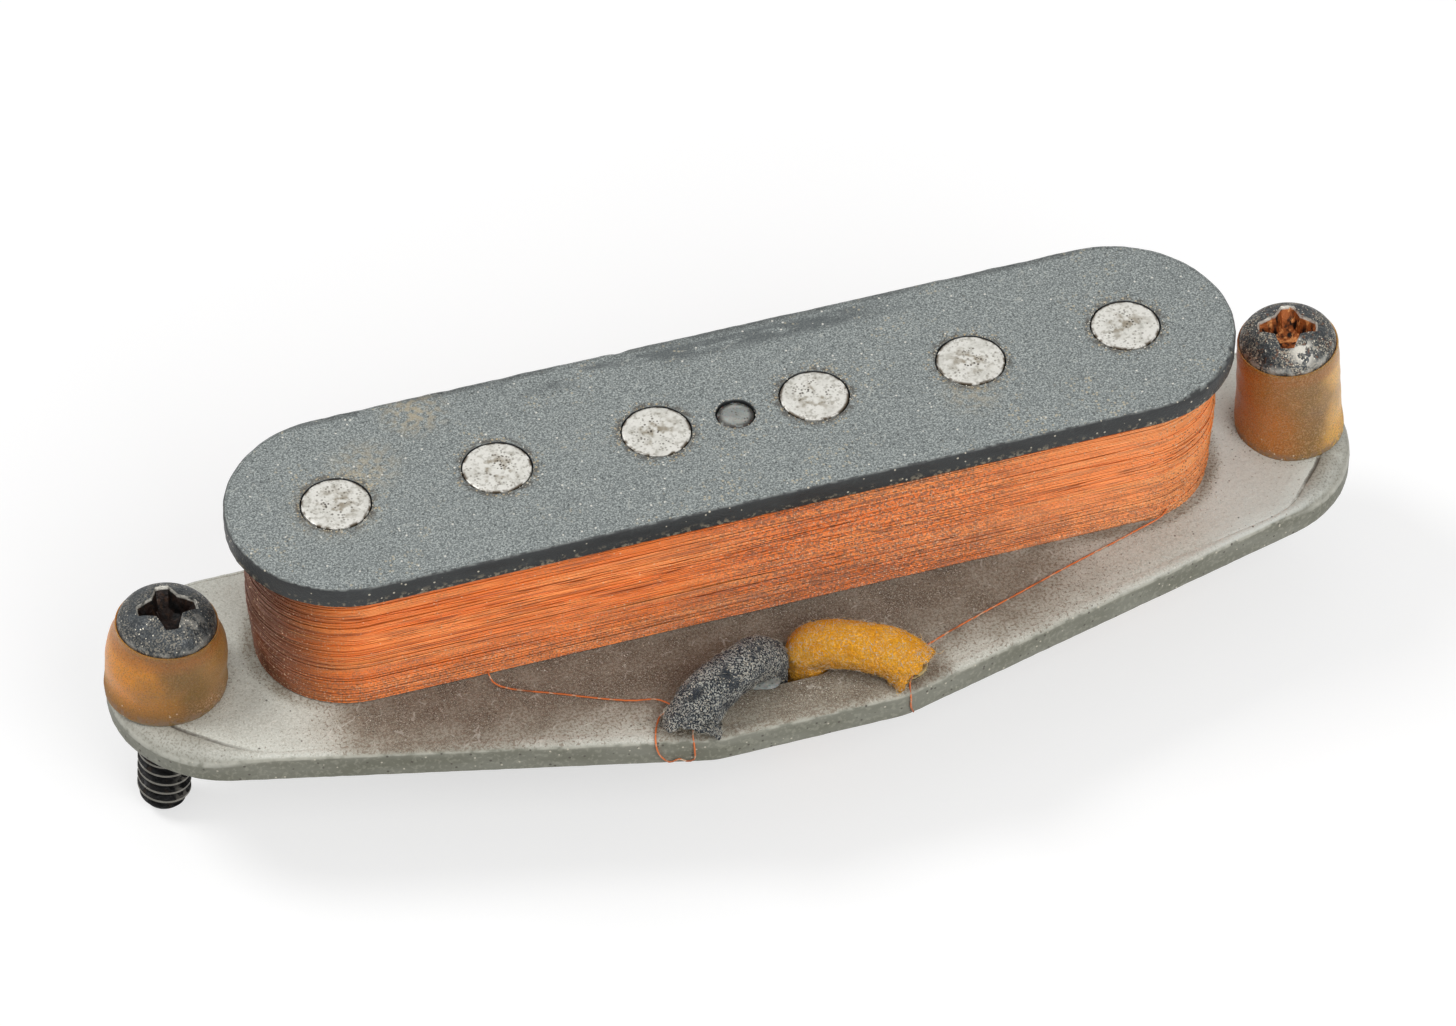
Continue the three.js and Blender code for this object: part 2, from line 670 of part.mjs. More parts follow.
// A threaded shank about Z: one ridge that climbs a pitch each turn, trimmed to its ends
function threadedShank(fromZ, toZ) {
  const spots = [];
  const index = [];
  const turns = Math.ceil((toZ - fromZ) / threadPitch) + 2;
  const steps = turns * threadSides;
  const start = fromZ - threadPitch;
  const spot = (step, crest) => {
    const angle = 2 * Math.PI * step / threadSides;
    const radius = threadMajorRadius - (crest ? 0 : threadDepth);
    const z = start + threadPitch * (step / threadSides + (crest ? 0.5 : 0));
    spots.push(radius * Math.cos(angle), radius * Math.sin(angle), z);
  };
  for (let step = 0; step <= steps; step++) [false, true].forEach((crest) => spot(step, crest));
  for (let step = steps + 1; step <= steps + threadSides; step++) spot(step, false);
  const root = (step) => (step <= steps ? 2 * step : 2 * (steps + 1) + step - steps - 1);
  const crest = (step) => 2 * step + 1;
  for (let step = 0; step < steps; step++) {
    index.push(root(step), root(step + 1), crest(step), root(step + 1), crest(step + 1), crest(step));
    const [over, next] = [root(step + threadSides), root(step + threadSides + 1)];
    index.push(crest(step), crest(step + 1), over, crest(step + 1), next, over);
  }
  const foot = spots.length / 3;
  spots.push(0, 0, start);
  for (let step = 0; step < threadSides; step++) index.push(foot, root(step + 1), root(step));
  index.push(foot, root(0), crest(0), foot, crest(0), root(threadSides));
  const head = spots.length / 3;
  spots.push(0, 0, start + threadPitch * (turns + 1));
  for (let step = steps; step < steps + threadSides; step++) index.push(head, root(step), root(step + 1));
  index.push(head, crest(steps), root(steps), head, root(steps + threadSides), crest(steps));
  const geometry = new THREE.BufferGeometry();
  geometry.setAttribute('position', new THREE.Float32BufferAttribute(spots, 3));
  geometry.setIndex(index);
  const wide = threadMajorRadius + cutOverrun;
  const trim = turned([
    [0, fromZ],
    [screwTipRadius, fromZ],
    [wide, fromZ + screwTipChamfer * (wide - screwTipRadius) / (threadMajorRadius - screwTipRadius)],
    [wide, toZ],
    [0, toZ],
  ]);
  return fromSolid(toSolid(geometry).intersect(toSolid(trim)));
}

// One wing of the cross recess, wide at the top of the head and narrow at its floor
function recessWingCut(topZ) {
  const wing = new THREE.Shape();
  const flare = (recessSpan - recessFloorSpan) / 2 / recessDepth * cutOverrun;
  wing.moveTo(-recessFloorSpan / 2, -recessDepth);
  wing.lineTo(recessFloorSpan / 2, -recessDepth);
  wing.lineTo(recessSpan / 2 + flare, cutOverrun);
  wing.lineTo(-recessSpan / 2 - flare, cutOverrun);
  wing.closePath();
  return slab(wing, recessWing)
    .translate(0, 0, -recessWing / 2)
    .rotateX(Math.PI / 2)
    .translate(0, 0, topZ);
}

// A height screw about Z, with the underside of its head at headZ
function screwGeometry(headZ) {
  const top = headZ + screwHeadRim + screwHeadCrown;
  const head = [[0, headZ], [screwHeadRadius, headZ]];
  for (let i = 0; i <= crownSteps; i++) {
    const angle = Math.PI / 2 * i / crownSteps;
    head.push([
      i === crownSteps ? 0 : screwHeadRadius * Math.cos(angle),
      headZ + screwHeadRim + screwHeadCrown * Math.sin(angle),
    ]);
  }
  const shank = threadedShank(headZ - screwLength, headZ + screwHeadRim / 2);
  const whole = joinAll([turned(head), shank]);
  const wings = [0, Math.PI / 2].map((turn) => recessWingCut(top).rotateZ(turn));
  return fromSolid(wings.reduce((left, wing) => left.subtract(toSolid(wing)), whole));
}

// A rubber tube about Z, squeezed between the plate and the head, its foot cut level with the plate
function tubeGeometry(headZ, radii) {
  const foot = bottomPlateThickness / 2 / Math.cos(lean);
  const sunk = Math.max(...radii) * Math.tan(lean);
  const top = headZ - fitGap;
  const outer = tubeHeightShares.map((share, i) => [radii[i], THREE.MathUtils.lerp(foot, top, share)]);
  const profile = [[screwHoleRadius, foot - sunk], [radii[0], foot - sunk], ...outer, [screwHoleRadius, top]];
  const body = turned([...profile, profile[0]], tubeSides);
  const floor = rod(bottomPlateHalfLength, -screwLength, bottomPlateThickness / 2 + fitGap, wireSides);
  return { body, floor };
}

// A height screw and its tube, leaning in the plate's hole
function addScrew(side, name, headZ, radii) {
  const stand = new THREE.Group();
  stand.position.set(side * screwX, screwY, plateMidZ);
  stand.rotation.y = -side * lean;
  object.add(stand);
  place(`${name}_height_screw`, screwGeometry(headZ), paints.screwSteel, stand);
  const { body, floor } = tubeGeometry(headZ, radii);
  place(`${name}_rubber_tube`, cutAll(body, [floor.rotateY(side * lean)]), paints.latex, stand);
}

addMagnets();
addTopPlate();
addBottomPlate();
addCoilCore();
addOuterTurns();
addCoilWires();
addEyelet(-1, 'black');
addEyelet(1, 'yellow');
addArch(-1, 'black', blackLeadDiameter, paints.blackCloth);
addArch(1, 'yellow', yellowLeadDiameter, paints.yellowCloth);
addFreeLead(1, 'black', blackLeadDiameter, paints.blackCloth);
addFreeLead(-1, 'yellow', yellowLeadDiameter, paints.yellowCloth);
addTie();
addScrew(-1, 'left', leftHeadLocal, leftTubeRadii);
addScrew(1, 'right', rightHeadLocal, rightTubeRadii);

export default object;
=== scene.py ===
"""Looks of a single-coil guitar pickup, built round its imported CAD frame.

The mesh code counts in millimetres until a piece is made; the settings are in metres.
+X runs along the row of magnets, +Z is up, and the deep side of the bottom plate faces -Y.
"""
import json
import math
import random

import bmesh
import bpy
import numpy as np
from mathutils import Euler, Matrix, Vector, noise
from mathutils.geometry import delaunay_2d_cdt


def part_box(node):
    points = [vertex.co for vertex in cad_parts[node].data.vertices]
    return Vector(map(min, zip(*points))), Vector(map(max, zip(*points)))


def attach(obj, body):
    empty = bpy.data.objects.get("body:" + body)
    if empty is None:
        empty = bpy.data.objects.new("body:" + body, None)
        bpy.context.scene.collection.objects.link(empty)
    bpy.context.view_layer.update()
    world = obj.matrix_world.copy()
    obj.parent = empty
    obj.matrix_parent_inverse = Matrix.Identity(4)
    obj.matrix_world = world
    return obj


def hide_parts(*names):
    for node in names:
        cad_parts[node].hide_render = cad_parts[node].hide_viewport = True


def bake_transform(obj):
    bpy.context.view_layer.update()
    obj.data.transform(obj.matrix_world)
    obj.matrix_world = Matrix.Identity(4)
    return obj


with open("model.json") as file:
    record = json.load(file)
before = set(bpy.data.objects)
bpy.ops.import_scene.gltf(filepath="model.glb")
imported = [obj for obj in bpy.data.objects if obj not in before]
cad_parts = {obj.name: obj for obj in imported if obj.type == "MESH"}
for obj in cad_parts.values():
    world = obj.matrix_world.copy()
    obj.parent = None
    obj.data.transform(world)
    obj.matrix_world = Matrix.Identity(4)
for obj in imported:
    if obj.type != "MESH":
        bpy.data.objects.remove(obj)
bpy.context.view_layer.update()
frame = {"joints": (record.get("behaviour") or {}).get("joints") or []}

bl_info = {
    "name": "Single-coil guitar pickup",
    "version": (1, 0, 0),
    "blender": (4, 5, 0),
    "location": "3D View > Sidebar > Pickup",
    "description": "Builds the visible pieces of a single-coil guitar pickup round its CAD frame",
    "category": "Add Mesh",
}

MM = 0.001


def node_box(name):
    """The lowest and highest corners of a CAD node, in millimetres."""
    return [Vector(corner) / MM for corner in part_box(name)]


def lerp(a, b, share):
    return a + (b - a) * share


MAGNETS = [f"pole_magnet_{i}" for i in range(1, 7)]
MAGNET_BOXES = [node_box(name) for name in MAGNETS]
MAGNET_SPOTS = [(low + high) / 2 for low, high in MAGNET_BOXES]
TOP_LOW, TOP_HIGH = node_box("top_plate")
PLATE_LOW, PLATE_HIGH = node_box("bottom_plate")
ROW_Y = (TOP_LOW.y + TOP_HIGH.y) / 2
JOINTS = {joint["name"]: joint for joint in frame["joints"]}
SCREW_SPOTS = [Vector(JOINTS[f"{side}_screw_turn"]["pos_m"]) / MM for side in ("left", "right")]

# Places that match the CAD frame, from the same sizes
FRONT_REACH = ROW_Y - PLATE_LOW.y
LEAD_HOLE_X = 1.45
LEAD_HOLE_Y = ROW_Y - 10.8
LEAD_HOLE_RADIUS = 1.65
EYELET_X = 7
PLATE_END_RADIUS = 8.1
PLATE_CORNER_X = 6.35
FRONT_SLANT = 0.235
EYELET_Y = ROW_Y - 13.3
COIL_HALF_LENGTH = 32.2
COIL_HALF_WIDTH = 6.3
MAGNET_HOLE_RADIUS = 2.27
WAX_HOLE_RADIUS = 1.27
SCREW_LENGTH = 15.875
SCREW_LEAN = 4


def linear(code):
    """Turns an sRGB hex colour into linear RGBA."""
    parts = [int(code[i:i + 2], 16) / 255 for i in (1, 3, 5)]
    return (*(p / 12.92 if p <= 0.04045 else ((p + 0.055) / 1.055) ** 2.4 for p in parts), 1.0)


def length_setting(name, description, millimetres):
    return bpy.props.FloatProperty(
        name=name, description=description, default=millimetres * MM, min=0, precision=5,
        subtype="DISTANCE", unit="LENGTH",
    )


def colour_setting(name, description, code):
    return bpy.props.FloatVectorProperty(
        name=name, description=description, default=linear(code), size=4, min=0, max=1,
        subtype="COLOR",
    )


class PickupSizes(bpy.types.PropertyGroup):
    """Sizes of the details that the CAD frame leaves to the visible pieces"""
    top_edge: length_setting("Top plate edge", "Rounding of the top plate's punched edge", 0.24)
    plate_edge: length_setting("Bottom plate edge", "Rounding of the bottom plate's edge", 0.35)
    worn_corner: length_setting("Worn corner", "Width of the worn bevels at the end corners", 1.7)
    turns: bpy.props.IntProperty(
        name="Coil turns", description="Turns drawn in the coil's outer layer", default=84, min=10,
    )
    stray_turns: bpy.props.IntProperty(
        name="Stray turns", description="Turns that cross over the outer layer", default=9, min=0,
    )
    wire: length_setting("Coil wire", "Diameter of the enamelled wire, with its enamel", 0.115)
    loose_wire: length_setting("Loose wire", "Diameter of the coil wire where it runs free", 0.12)
    coil_belly: length_setting("Coil belly", "How far the winding bulges at mid height", 0.22)
    magnet_bevel: length_setting("Magnet bevel", "Broken edge round a magnet's face", 0.12)
    black_lead: length_setting("Black lead", "Diameter of the black cloth lead", 2.4)
    yellow_lead: length_setting("Yellow lead", "Diameter of the yellow cloth lead", 2.7)
    tail_bend: length_setting("Lead bend", "Radius of the bends where a lead drops from its hole", 5.4)
    nap: length_setting("Cloth nap", "Length of the loose fibres on the cloth", 0.42)
    thread_pitch: length_setting("Thread pitch", "Pitch of the 6-32 screw thread", 0.79375)
    tape: length_setting("Tie tape", "Width of the cotton tape round the leads", 1.6)


class PickupColours(bpy.types.PropertyGroup):
    """Main colours of the pickup's materials"""
    black_fibre: colour_setting("Black fibre", "Clean edge of the top plate", "#26292a")
    fibre_dust: colour_setting("Dusty fibre", "Dusty face of the top plate", "#8d9392")
    grey_fibre: colour_setting("Grey fibre", "Face of the bottom plate", "#d2d3c9")
    grime: colour_setting("Grime", "Brown-grey grime round the coil and leads", "#7c6d5d")
    dust: colour_setting("Dust", "Pale dust and crumbs", "#cdc6b4")
    magnet: colour_setting("Magnet", "Ground face of the magnets", "#dedcd5")
    enamel: colour_setting("Enamel", "Orange enamel of the coil wire", "#f8842a")
    black_cloth: colour_setting("Black cloth", "Black cotton of one lead", "#293038")
    yellow_cloth: colour_setting("Yellow cloth", "Yellow cotton of the other lead", "#ffae12")
    steel: colour_setting("Steel", "Blackened steel of the screws", "#33373a")
    latex: colour_setting("Latex", "Amber latex of the tubes, under the screw head", "#a8662a")
    brass: colour_setting("Brass", "Tinned brass of the eyelets", "#b5a377")
    solder: colour_setting("Solder", "Tin-lead solder", "#b9bab6")
    wax: colour_setting("Wax", "Dusty wax in the middle hole", "#858986")
    tape: colour_setting("Tape", "Cotton tape of the tie", "#d9d0ba")
    floor: colour_setting("Floor", "Studio floor", "#bcbcbc")


# Nodes

def add_node(tree, kind, inputs=None, out=0, **settings):
    """Adds a node with its settings, fills or links its inputs, and returns an output, if any."""
    node = tree.nodes.new(kind)
    for name, value in settings.items():
        setattr(node, name, value)
    for key, value in (inputs or {}).items():
        if isinstance(value, bpy.types.NodeSocket):
            tree.links.new(value, node.inputs[key])
        else:
            node.inputs[key].default_value = value
    return None if out is None else node.outputs[out]


# Masks and colours

def cleared_tree(owner):
    """The node tree of a material or world, with nothing in it."""
    owner.use_nodes = True
    owner.node_tree.nodes.clear()
    return owner.node_tree


def new_finish(name, roughness=0.7, **constants):
    """A material with one Principled shader, whose constants stand on its own sockets."""
    material = bpy.data.materials.new(name)
    tree = cleared_tree(material)
    constants = {label.replace("_", " "): value for label, value in constants.items()}
    surface = add_node(tree, "ShaderNodeBsdfPrincipled", {"Roughness": roughness, **constants})
    add_node(tree, "ShaderNodeOutputMaterial", {"Surface": surface}, out=None)
    return material, add_node(tree, "ShaderNodeTexCoord", out="Object")


def finished(material, colour, gloss=None, relief=None, depth=0.0):
    """Links a colour to a material's shader, with a gloss and a relief where they are given.

    gloss is a mask and the roughness where it is 0 and 1; depth is in millimetres."""
    tree = material.node_tree
    surface = next(node for node in tree.nodes if node.type == "BSDF_PRINCIPLED").inputs
    tree.links.new(colour, surface["Base Color"])
    if gloss:
        mask, smoothest, roughest = gloss
        gloss = add_node(tree, "ShaderNodeMapRange", {0: mask, 3: smoothest, 4: roughest})
        tree.links.new(gloss, surface["Roughness"])
    if relief:
        bump = add_node(tree, "ShaderNodeBump", {"Height": relief, "Distance": depth * MM})
        tree.links.new(bump, surface["Normal"])
    return material


def tree_of(*values):
    """The node tree of the first socket among some values."""
    return next(value.id_data for value in values if isinstance(value, bpy.types.NodeSocket))


def both(*masks):
    """The product of masks and numbers."""
    tree, product = tree_of(*masks), masks[0]
    for mask in masks[1:]:
        product = add_node(tree, "ShaderNodeMath", {0: product, 1: mask}, operation="MULTIPLY")
    return product


def strongest(*masks):
    """The highest of some masks."""
    tree, highest = tree_of(*masks), masks[0]
    for mask in masks[1:]:
        highest = add_node(tree, "ShaderNodeMath", {0: highest, 1: mask}, operation="MAXIMUM")
    return highest


def summed(*terms):
    """The sum of (value, weight) pairs."""
    tree, total = tree_of(*(value for value, _ in terms)), 0.0
    for value, weight in terms:
        total = add_node(tree, "ShaderNodeMath", {
            0: value, 1: weight, 2: total,
        }, operation="MULTIPLY_ADD")
    return total


def between(value, start, full, fade=None, gone=None):
    """A mask that goes from 0 at start to 1 at full, and back from 1 at fade to 0 at gone."""
    steps = [(start, full)] + ([(gone, fade)] if gone is not None else [])
    return both(*(add_node(value.id_data, "ShaderNodeMapRange", {
        0: value, 1: zero, 2: one,
    }, interpolation_type="SMOOTHSTEP") for zero, one in steps))


def layered(base, *coats):
    """A base colour under coats, each of which gives its masks and shares and then its colour."""
    for *masks, coat in coats:
        base, coat = [linear(code) if isinstance(code, str) else code for code in (base, coat)]
        mask = both(*masks)
        base = add_node(mask.id_data, "ShaderNodeMix", {
            0: mask, 6: base, 7: coat,
        }, out=2, data_type="RGBA")
    return base


def clouds(place, size, low, high, detail=3.0, stretch=(1, 1, 1)):
    """A mask of soft clouds this many millimetres across, 0 below low and 1 above high."""
    scaled = add_node(place.id_data, "ShaderNodeMapping", {
        "Vector": place, "Scale": [part / (size * MM) for part in stretch],
    })
    return between(add_node(place.id_data, "ShaderNodeTexNoise", {
        "Vector": scaled, "Scale": 1.0, "Detail": detail,
    }), low, high)


def grains(place, size, share, core=0.42):
    """A mask of grains: cells this many millimetres apart, of which a share holds a grain."""
    tree = place.id_data
    cell = add_node(tree, "ShaderNodeTexVoronoi", {"Vector": place, "Scale": 1 / (size * MM)})
    pick = add_node(tree, "ShaderNodeSeparateColor", {0: cell.node.outputs["Color"]})
    held = add_node(tree, "ShaderNodeMath", {0: pick, 1: share}, operation="LESS_THAN")
    return both(held, between(cell, core, core * 0.6))


def hairs(place, size):
    """A mask of short hairs: broken thin lines along the edges of warped cells."""
    tree, scale = place.id_data, 1 / (size * MM)
    warp = add_node(tree, "ShaderNodeTexNoise", {"Vector": place, "Scale": scale}, out="Color")
    bent = add_node(tree, "ShaderNodeVectorMath", {
        0: warp, 1: (size * 0.6 * MM,) * 3, 2: place,
    }, operation="MULTIPLY_ADD")
    edge = add_node(tree, "ShaderNodeTexVoronoi", {
        "Vector": bent, "Scale": scale,
    }, feature="DISTANCE_TO_EDGE")
    return both(between(edge, 0.03, 0.012), clouds(place, size * 0.5, 0.58, 0.62, 2))


def facing_up(place, low, high):
    """A mask of what faces up."""
    normal = add_node(place.id_data, "ShaderNodeNewGeometry", out="Normal")
    return between(add_node(place.id_data, "ShaderNodeSeparateXYZ", {0: normal}, out="Z"), low, high)


def axis_of(place, name, origin=0.0):
    """One coordinate of a place, in millimetres from an origin."""
    part = add_node(place.id_data, "ShaderNodeSeparateXYZ", {0: place}, out=name)
    return add_node(place.id_data, "ShaderNodeMath", {
        0: part, 1: 1 / MM, 2: -origin,
    }, operation="MULTIPLY_ADD")


def reach_of(x, y):
    """How far a place lies from the origin of its two coordinates."""
    spot = add_node(x.id_data, "ShaderNodeCombineXYZ", {"X": x, "Y": y})
    return add_node(x.id_data, "ShaderNodeVectorMath", {0: spot}, out="Value", operation="LENGTH")


def away_from(place, x, y, half_run=0.0):
    """Millimetres from an upright line, or from an upright wall that runs this far each way."""
    along = axis_of(place, "X", x)
    for operation, value in (("ABSOLUTE", 0.0), ("SUBTRACT", half_run), ("MAXIMUM", 0.0)):
        along = add_node(place.id_data, "ShaderNodeMath", {0: along, 1: value}, operation=operation)
    return reach_of(along, axis_of(place, "Y", y))


def from_magnet(place):
    """Millimetres from the axis of the nearest magnet."""
    first, second = MAGNET_SPOTS[:2]
    along = add_node(place.id_data, "ShaderNodeMath", {
        0: axis_of(place, "X", first.x), 1: (second.x - first.x) / 2,
    }, operation="PINGPONG")
    return reach_of(along, axis_of(place, "Y", ROW_Y))


# Materials

def black_fibre(colours):
    # Punched vulcanised fibre, dyed black: charcoal where it is cut, and slate grey where years
    # of fine dust lie on the face. The speckle is 0.1 to 0.3 mm across.
    material, place = new_finish("black_vulcanised_fibre", 0.7)
    face = facing_up(place, 0.75, 0.98)
    along, across = axis_of(place, "X"), axis_of(place, "Y")
    magnet = from_magnet(place)
    fine, blotch = clouds(place, 0.18, 0.42, 0.64, 2), clouds(place, 3.5, 0.42, 0.68)
    smudge = both(
        between(across, ROW_Y + 5.2, ROW_Y + 6.1, ROW_Y + 6.7, ROW_Y + 7.3),
        between(along, -17, -12, 8, 15),
        clouds(place, 1.3, 0.4, 0.56, 4, (0.35, 1, 1)),
    )
    back_line = both(between(across, ROW_Y + 7.0, ROW_Y + 7.3), clouds(place, 6, 0.35, 0.5))
    tan_dust = [both(between(away_from(place, x, ROW_Y + y), reach, 0.2),
                     clouds(place, 0.45, 0.4, 0.6, 4), strength)
                for x, y, reach, strength in ((-19.4, 6.3, 2.9, 0.7), (-23.6, 2.6, 3.2, 0.5),
                                              (-26.5, -0.3, 3.7, 0.4), (14.8, -2.9, 2.6, 0.4))]
    ring = both(between(magnet, 2.9, 2.35), clouds(place, 0.5, 0.4, 0.58, 4))
    grey = layered(
        colours.fibre_dust,
        (blotch, 0.5, "#858b8a"),
        (clouds(place, 1.2, 0.5, 0.75), 0.5, "#969c9a"),
        (fine, 0.6, "#5d6363"),
        (clouds(place, 0.12, 0.5, 0.6, 2), 0.65, "#c2c8c4"),
        (clouds(place, 0.11, 0.53, 0.61, 1), 0.65, "#4f5555"),
        (smudge, 0.75, "#525758"),
        (back_line, 0.5, "#4a4d4d"),
        (ring, 0.8, "#4d463d"),
        *((mask, "#b3a68c") for mask in tan_dust),
        (between(magnet, 3.5, 2.4), grains(place, 0.24, 0.34), "#b7a88b"),
        (clouds(place, 4, 0.52, 0.66), grains(place, 0.26, 0.4), "#b5ad98"),
        (grains(place, 0.3, 0.045, 0.3), "#dddbd2"),
        (grains(place, 0.27, 0.07, 0.36), 0.7, "#3e4242"),
        (hairs(place, 1.4), 0.4, "#c0c1b9"),
    )
    low_lip = between(axis_of(place, "Z"), TOP_LOW.z + 0.8, TOP_LOW.z + 0.15)
    side = layered(
        colours.black_fibre,
        (clouds(place, 1.3, 0.4, 0.7, 4, (0.3, 0.3, 1.5)), "#191b1c"),
        (clouds(place, 0.7, 0.56, 0.72), 0.4, "#404443"),
        (low_lip, clouds(place, 0.3, 0.52, 0.64), "#857d6c"),
        (facing_up(place, 0.4, 0.8), clouds(place, 0.5, 0.4, 0.56), 0.55, "#8a8f8c"),
        (grains(place, 0.26, 0.08, 0.34), colours.dust),
    )
    return finished(
        material, layered(side, (face, grey)), gloss=(face, 0.5, 0.88),
        relief=summed((fine, 0.5), (clouds(place, 1.1, 0.3, 0.7, 3), 0.4),
                      *((mask, 0.6) for mask in tan_dust[:2])), depth=0.03,
    )


def grey_fibre(colours):
    # Grey vulcanised fibre: pale and faintly glossy, stippled brown with grime that is densest
    # beside the coil and the leads. Single grains of the grime are about 0.2 mm across.
    material, place = new_finish("grey_vulcanised_fibre", 0.6)
    along = axis_of(place, "X")
    coil = away_from(place, 0, ROW_Y, COIL_HALF_LENGTH - COIL_HALF_WIDTH)
    leads = between(away_from(place, 0, LEAD_HOLE_Y - 1.6, 6.5), 5.5, 2.0)
    zone = both(between(coil, 17.5, 8.5), between(along, -33, -25, 12, 28))
    tubes = [both(between(away_from(place, spot.x, spot.y), reach, 3.7), strength)
             for spot, reach, strength in zip(SCREW_SPOTS, (5.4, 5.0), (0.45, 0.3))]
    foot = both(between(coil, COIL_HALF_WIDTH + 1.3, COIL_HALF_WIDTH), 0.7)
    uneven = summed((clouds(place, 2.2, 0.3, 0.7, 4), 0.34), (1.0, 0.66))
    dirt = both(strongest(0.09, zone, leads, *tubes, foot), uneven)
    stipple = [between(summed((clouds(place, size, 0.2, 0.8, 3), 1), (dirt, 0.6)), low, low + 0.16)
               for size, low in ((0.19, 0.86), (0.11, 0.93))]
    face = facing_up(place, 0.6, 0.95)
    pale = layered(
        colours.grey_fibre,
        (clouds(place, 3, 0.4, 0.7), 0.4, "#c4c4ba"),
        (clouds(place, 0.15, 0.48, 0.62, 3), 0.45, "#a9a799"),
        (clouds(place, 0.12, 0.54, 0.62, 2), 0.5, "#e9e8df"),
        # Painted light: the right end is paler, to make up for the shade that the coil casts there.
        (between(along, 27, 32), 0.5, "#e6ebe6"),
        (between(dirt, 0.05, 0.85), 0.85, "#8a8270"),
        (stipple[0], 0.75, colours.grime),
        (stipple[1], 0.8, "#4e4339"),
        (dirt, clouds(place, 0.11, 0.56, 0.64, 1), 0.8, "#c6c0b1"),
        (grains(place, 0.3, 0.03, 0.3), 0.8, "#4a4238"),
        (hairs(place, 1.9), 0.3, "#e6e4da"),
    )
    tree = place.id_data
    edge = add_node(tree, "ShaderNodeSeparateXYZ", {0: add_node(tree, "ShaderNodeUVMap")}, out="X")
    rise = edge.node.outputs["Y"]
    bevel = both(edge, between(rise, 0.58, 0.64), clouds(place, 0.7, 0.2, 0.5, 4, (0.3, 0.3, 1)))
    # Painted shade and highlight on the worn corners: a dark line in the groove at the bevel's inner
    # border, and a pale line along the rounding of the edge.
    lines = [both(edge, between(rise, *span), clouds(place, 0.7, 0.3, 0.5, 4))
             for span in ((0.84, 0.9, 0.95, 1.0), (0.54, 0.58, 0.62, 0.67))]
    # Painted highlight: the rounding of the edge is paler where it turns upward.
    painted_edge_highlight = facing_up(place, 0.12, 0.5)
    side = layered(
        "#86867a",
        (clouds(place, 1.6, 0.35, 0.7, 4, (0.3, 0.3, 1.2)), "#727264"),
        (clouds(place, 0.3, 0.5, 0.65), 0.4, "#a6a596"),
        (painted_edge_highlight, clouds(place, 0.9, 0.35, 0.6), 0.75, "#bdbbae"),
        (grains(place, 0.3, 0.12, 0.36), "#57534a"),
        (grains(place, 0.27, 0.06, 0.32), "#cbc5b4"),
    )
    # The last two coats are the painted shade line in the groove and the painted highlight line.
    worn = [(bevel, 0.75, "#a3a298"),
            (bevel, clouds(place, 0.14, 0.5, 0.62, 3), 0.6, "#7b776a"),
            (lines[0], 0.9, "#57524a"), (lines[1], 0.6, "#cac9be")]
    return finished(
        material, layered(side, (face, pale), *worn), gloss=(dirt, 0.5, 0.85),
        relief=summed((clouds(place, 0.28, 0.3, 0.7, 3), 0.5), (clouds(place, 1.8, 0.3, 0.7, 2), 0.6)),
        depth=0.03,
    )


def magnet_metal(colours):
    # Cast magnet alloy, ground flat on its face: a pale dull metal, pitted and speckled dark,
    # with a brown stain in the middle.
    material, place = new_finish("ground_magnet_alloy", 0.5, Metallic=0.45)
    from_axis = add_node(
        place.id_data, "ShaderNodeAttribute", out="Fac", attribute_name="from_axis",
    )
    middle = between(from_axis, 0.95, 0.1)
    pits = both(grains(place, 0.2, 0.6, 0.46), clouds(place, 0.9, 0.35, 0.6))
    rim = both(between(from_axis, 0.9, 0.975), clouds(place, 0.6, 0.4, 0.58))
    colour = layered(
        colours.magnet,
        (clouds(place, 1.2, 0.4, 0.7), 0.5, "#aeaca2"),
        (clouds(place, 0.2, 0.5, 0.62, 1), 0.4, "#e6e5dd"),
        (clouds(place, 0.3, 0.52, 0.66, 2), 0.4, "#8d897d"),
        (pits, 0.45, "#7a7468"),
        (middle, clouds(place, 0.6, 0.46, 0.66), 0.75, "#83765f"),
        (middle, pits, "#3f382f"),
        (rim, "#54493a"),
    )
    return finished(
        material, colour, gloss=(pits, 0.42, 0.8),
        relief=summed((clouds(place, 0.2, 0.3, 0.7), 0.4), (pits, -0.7)), depth=0.02,
    )


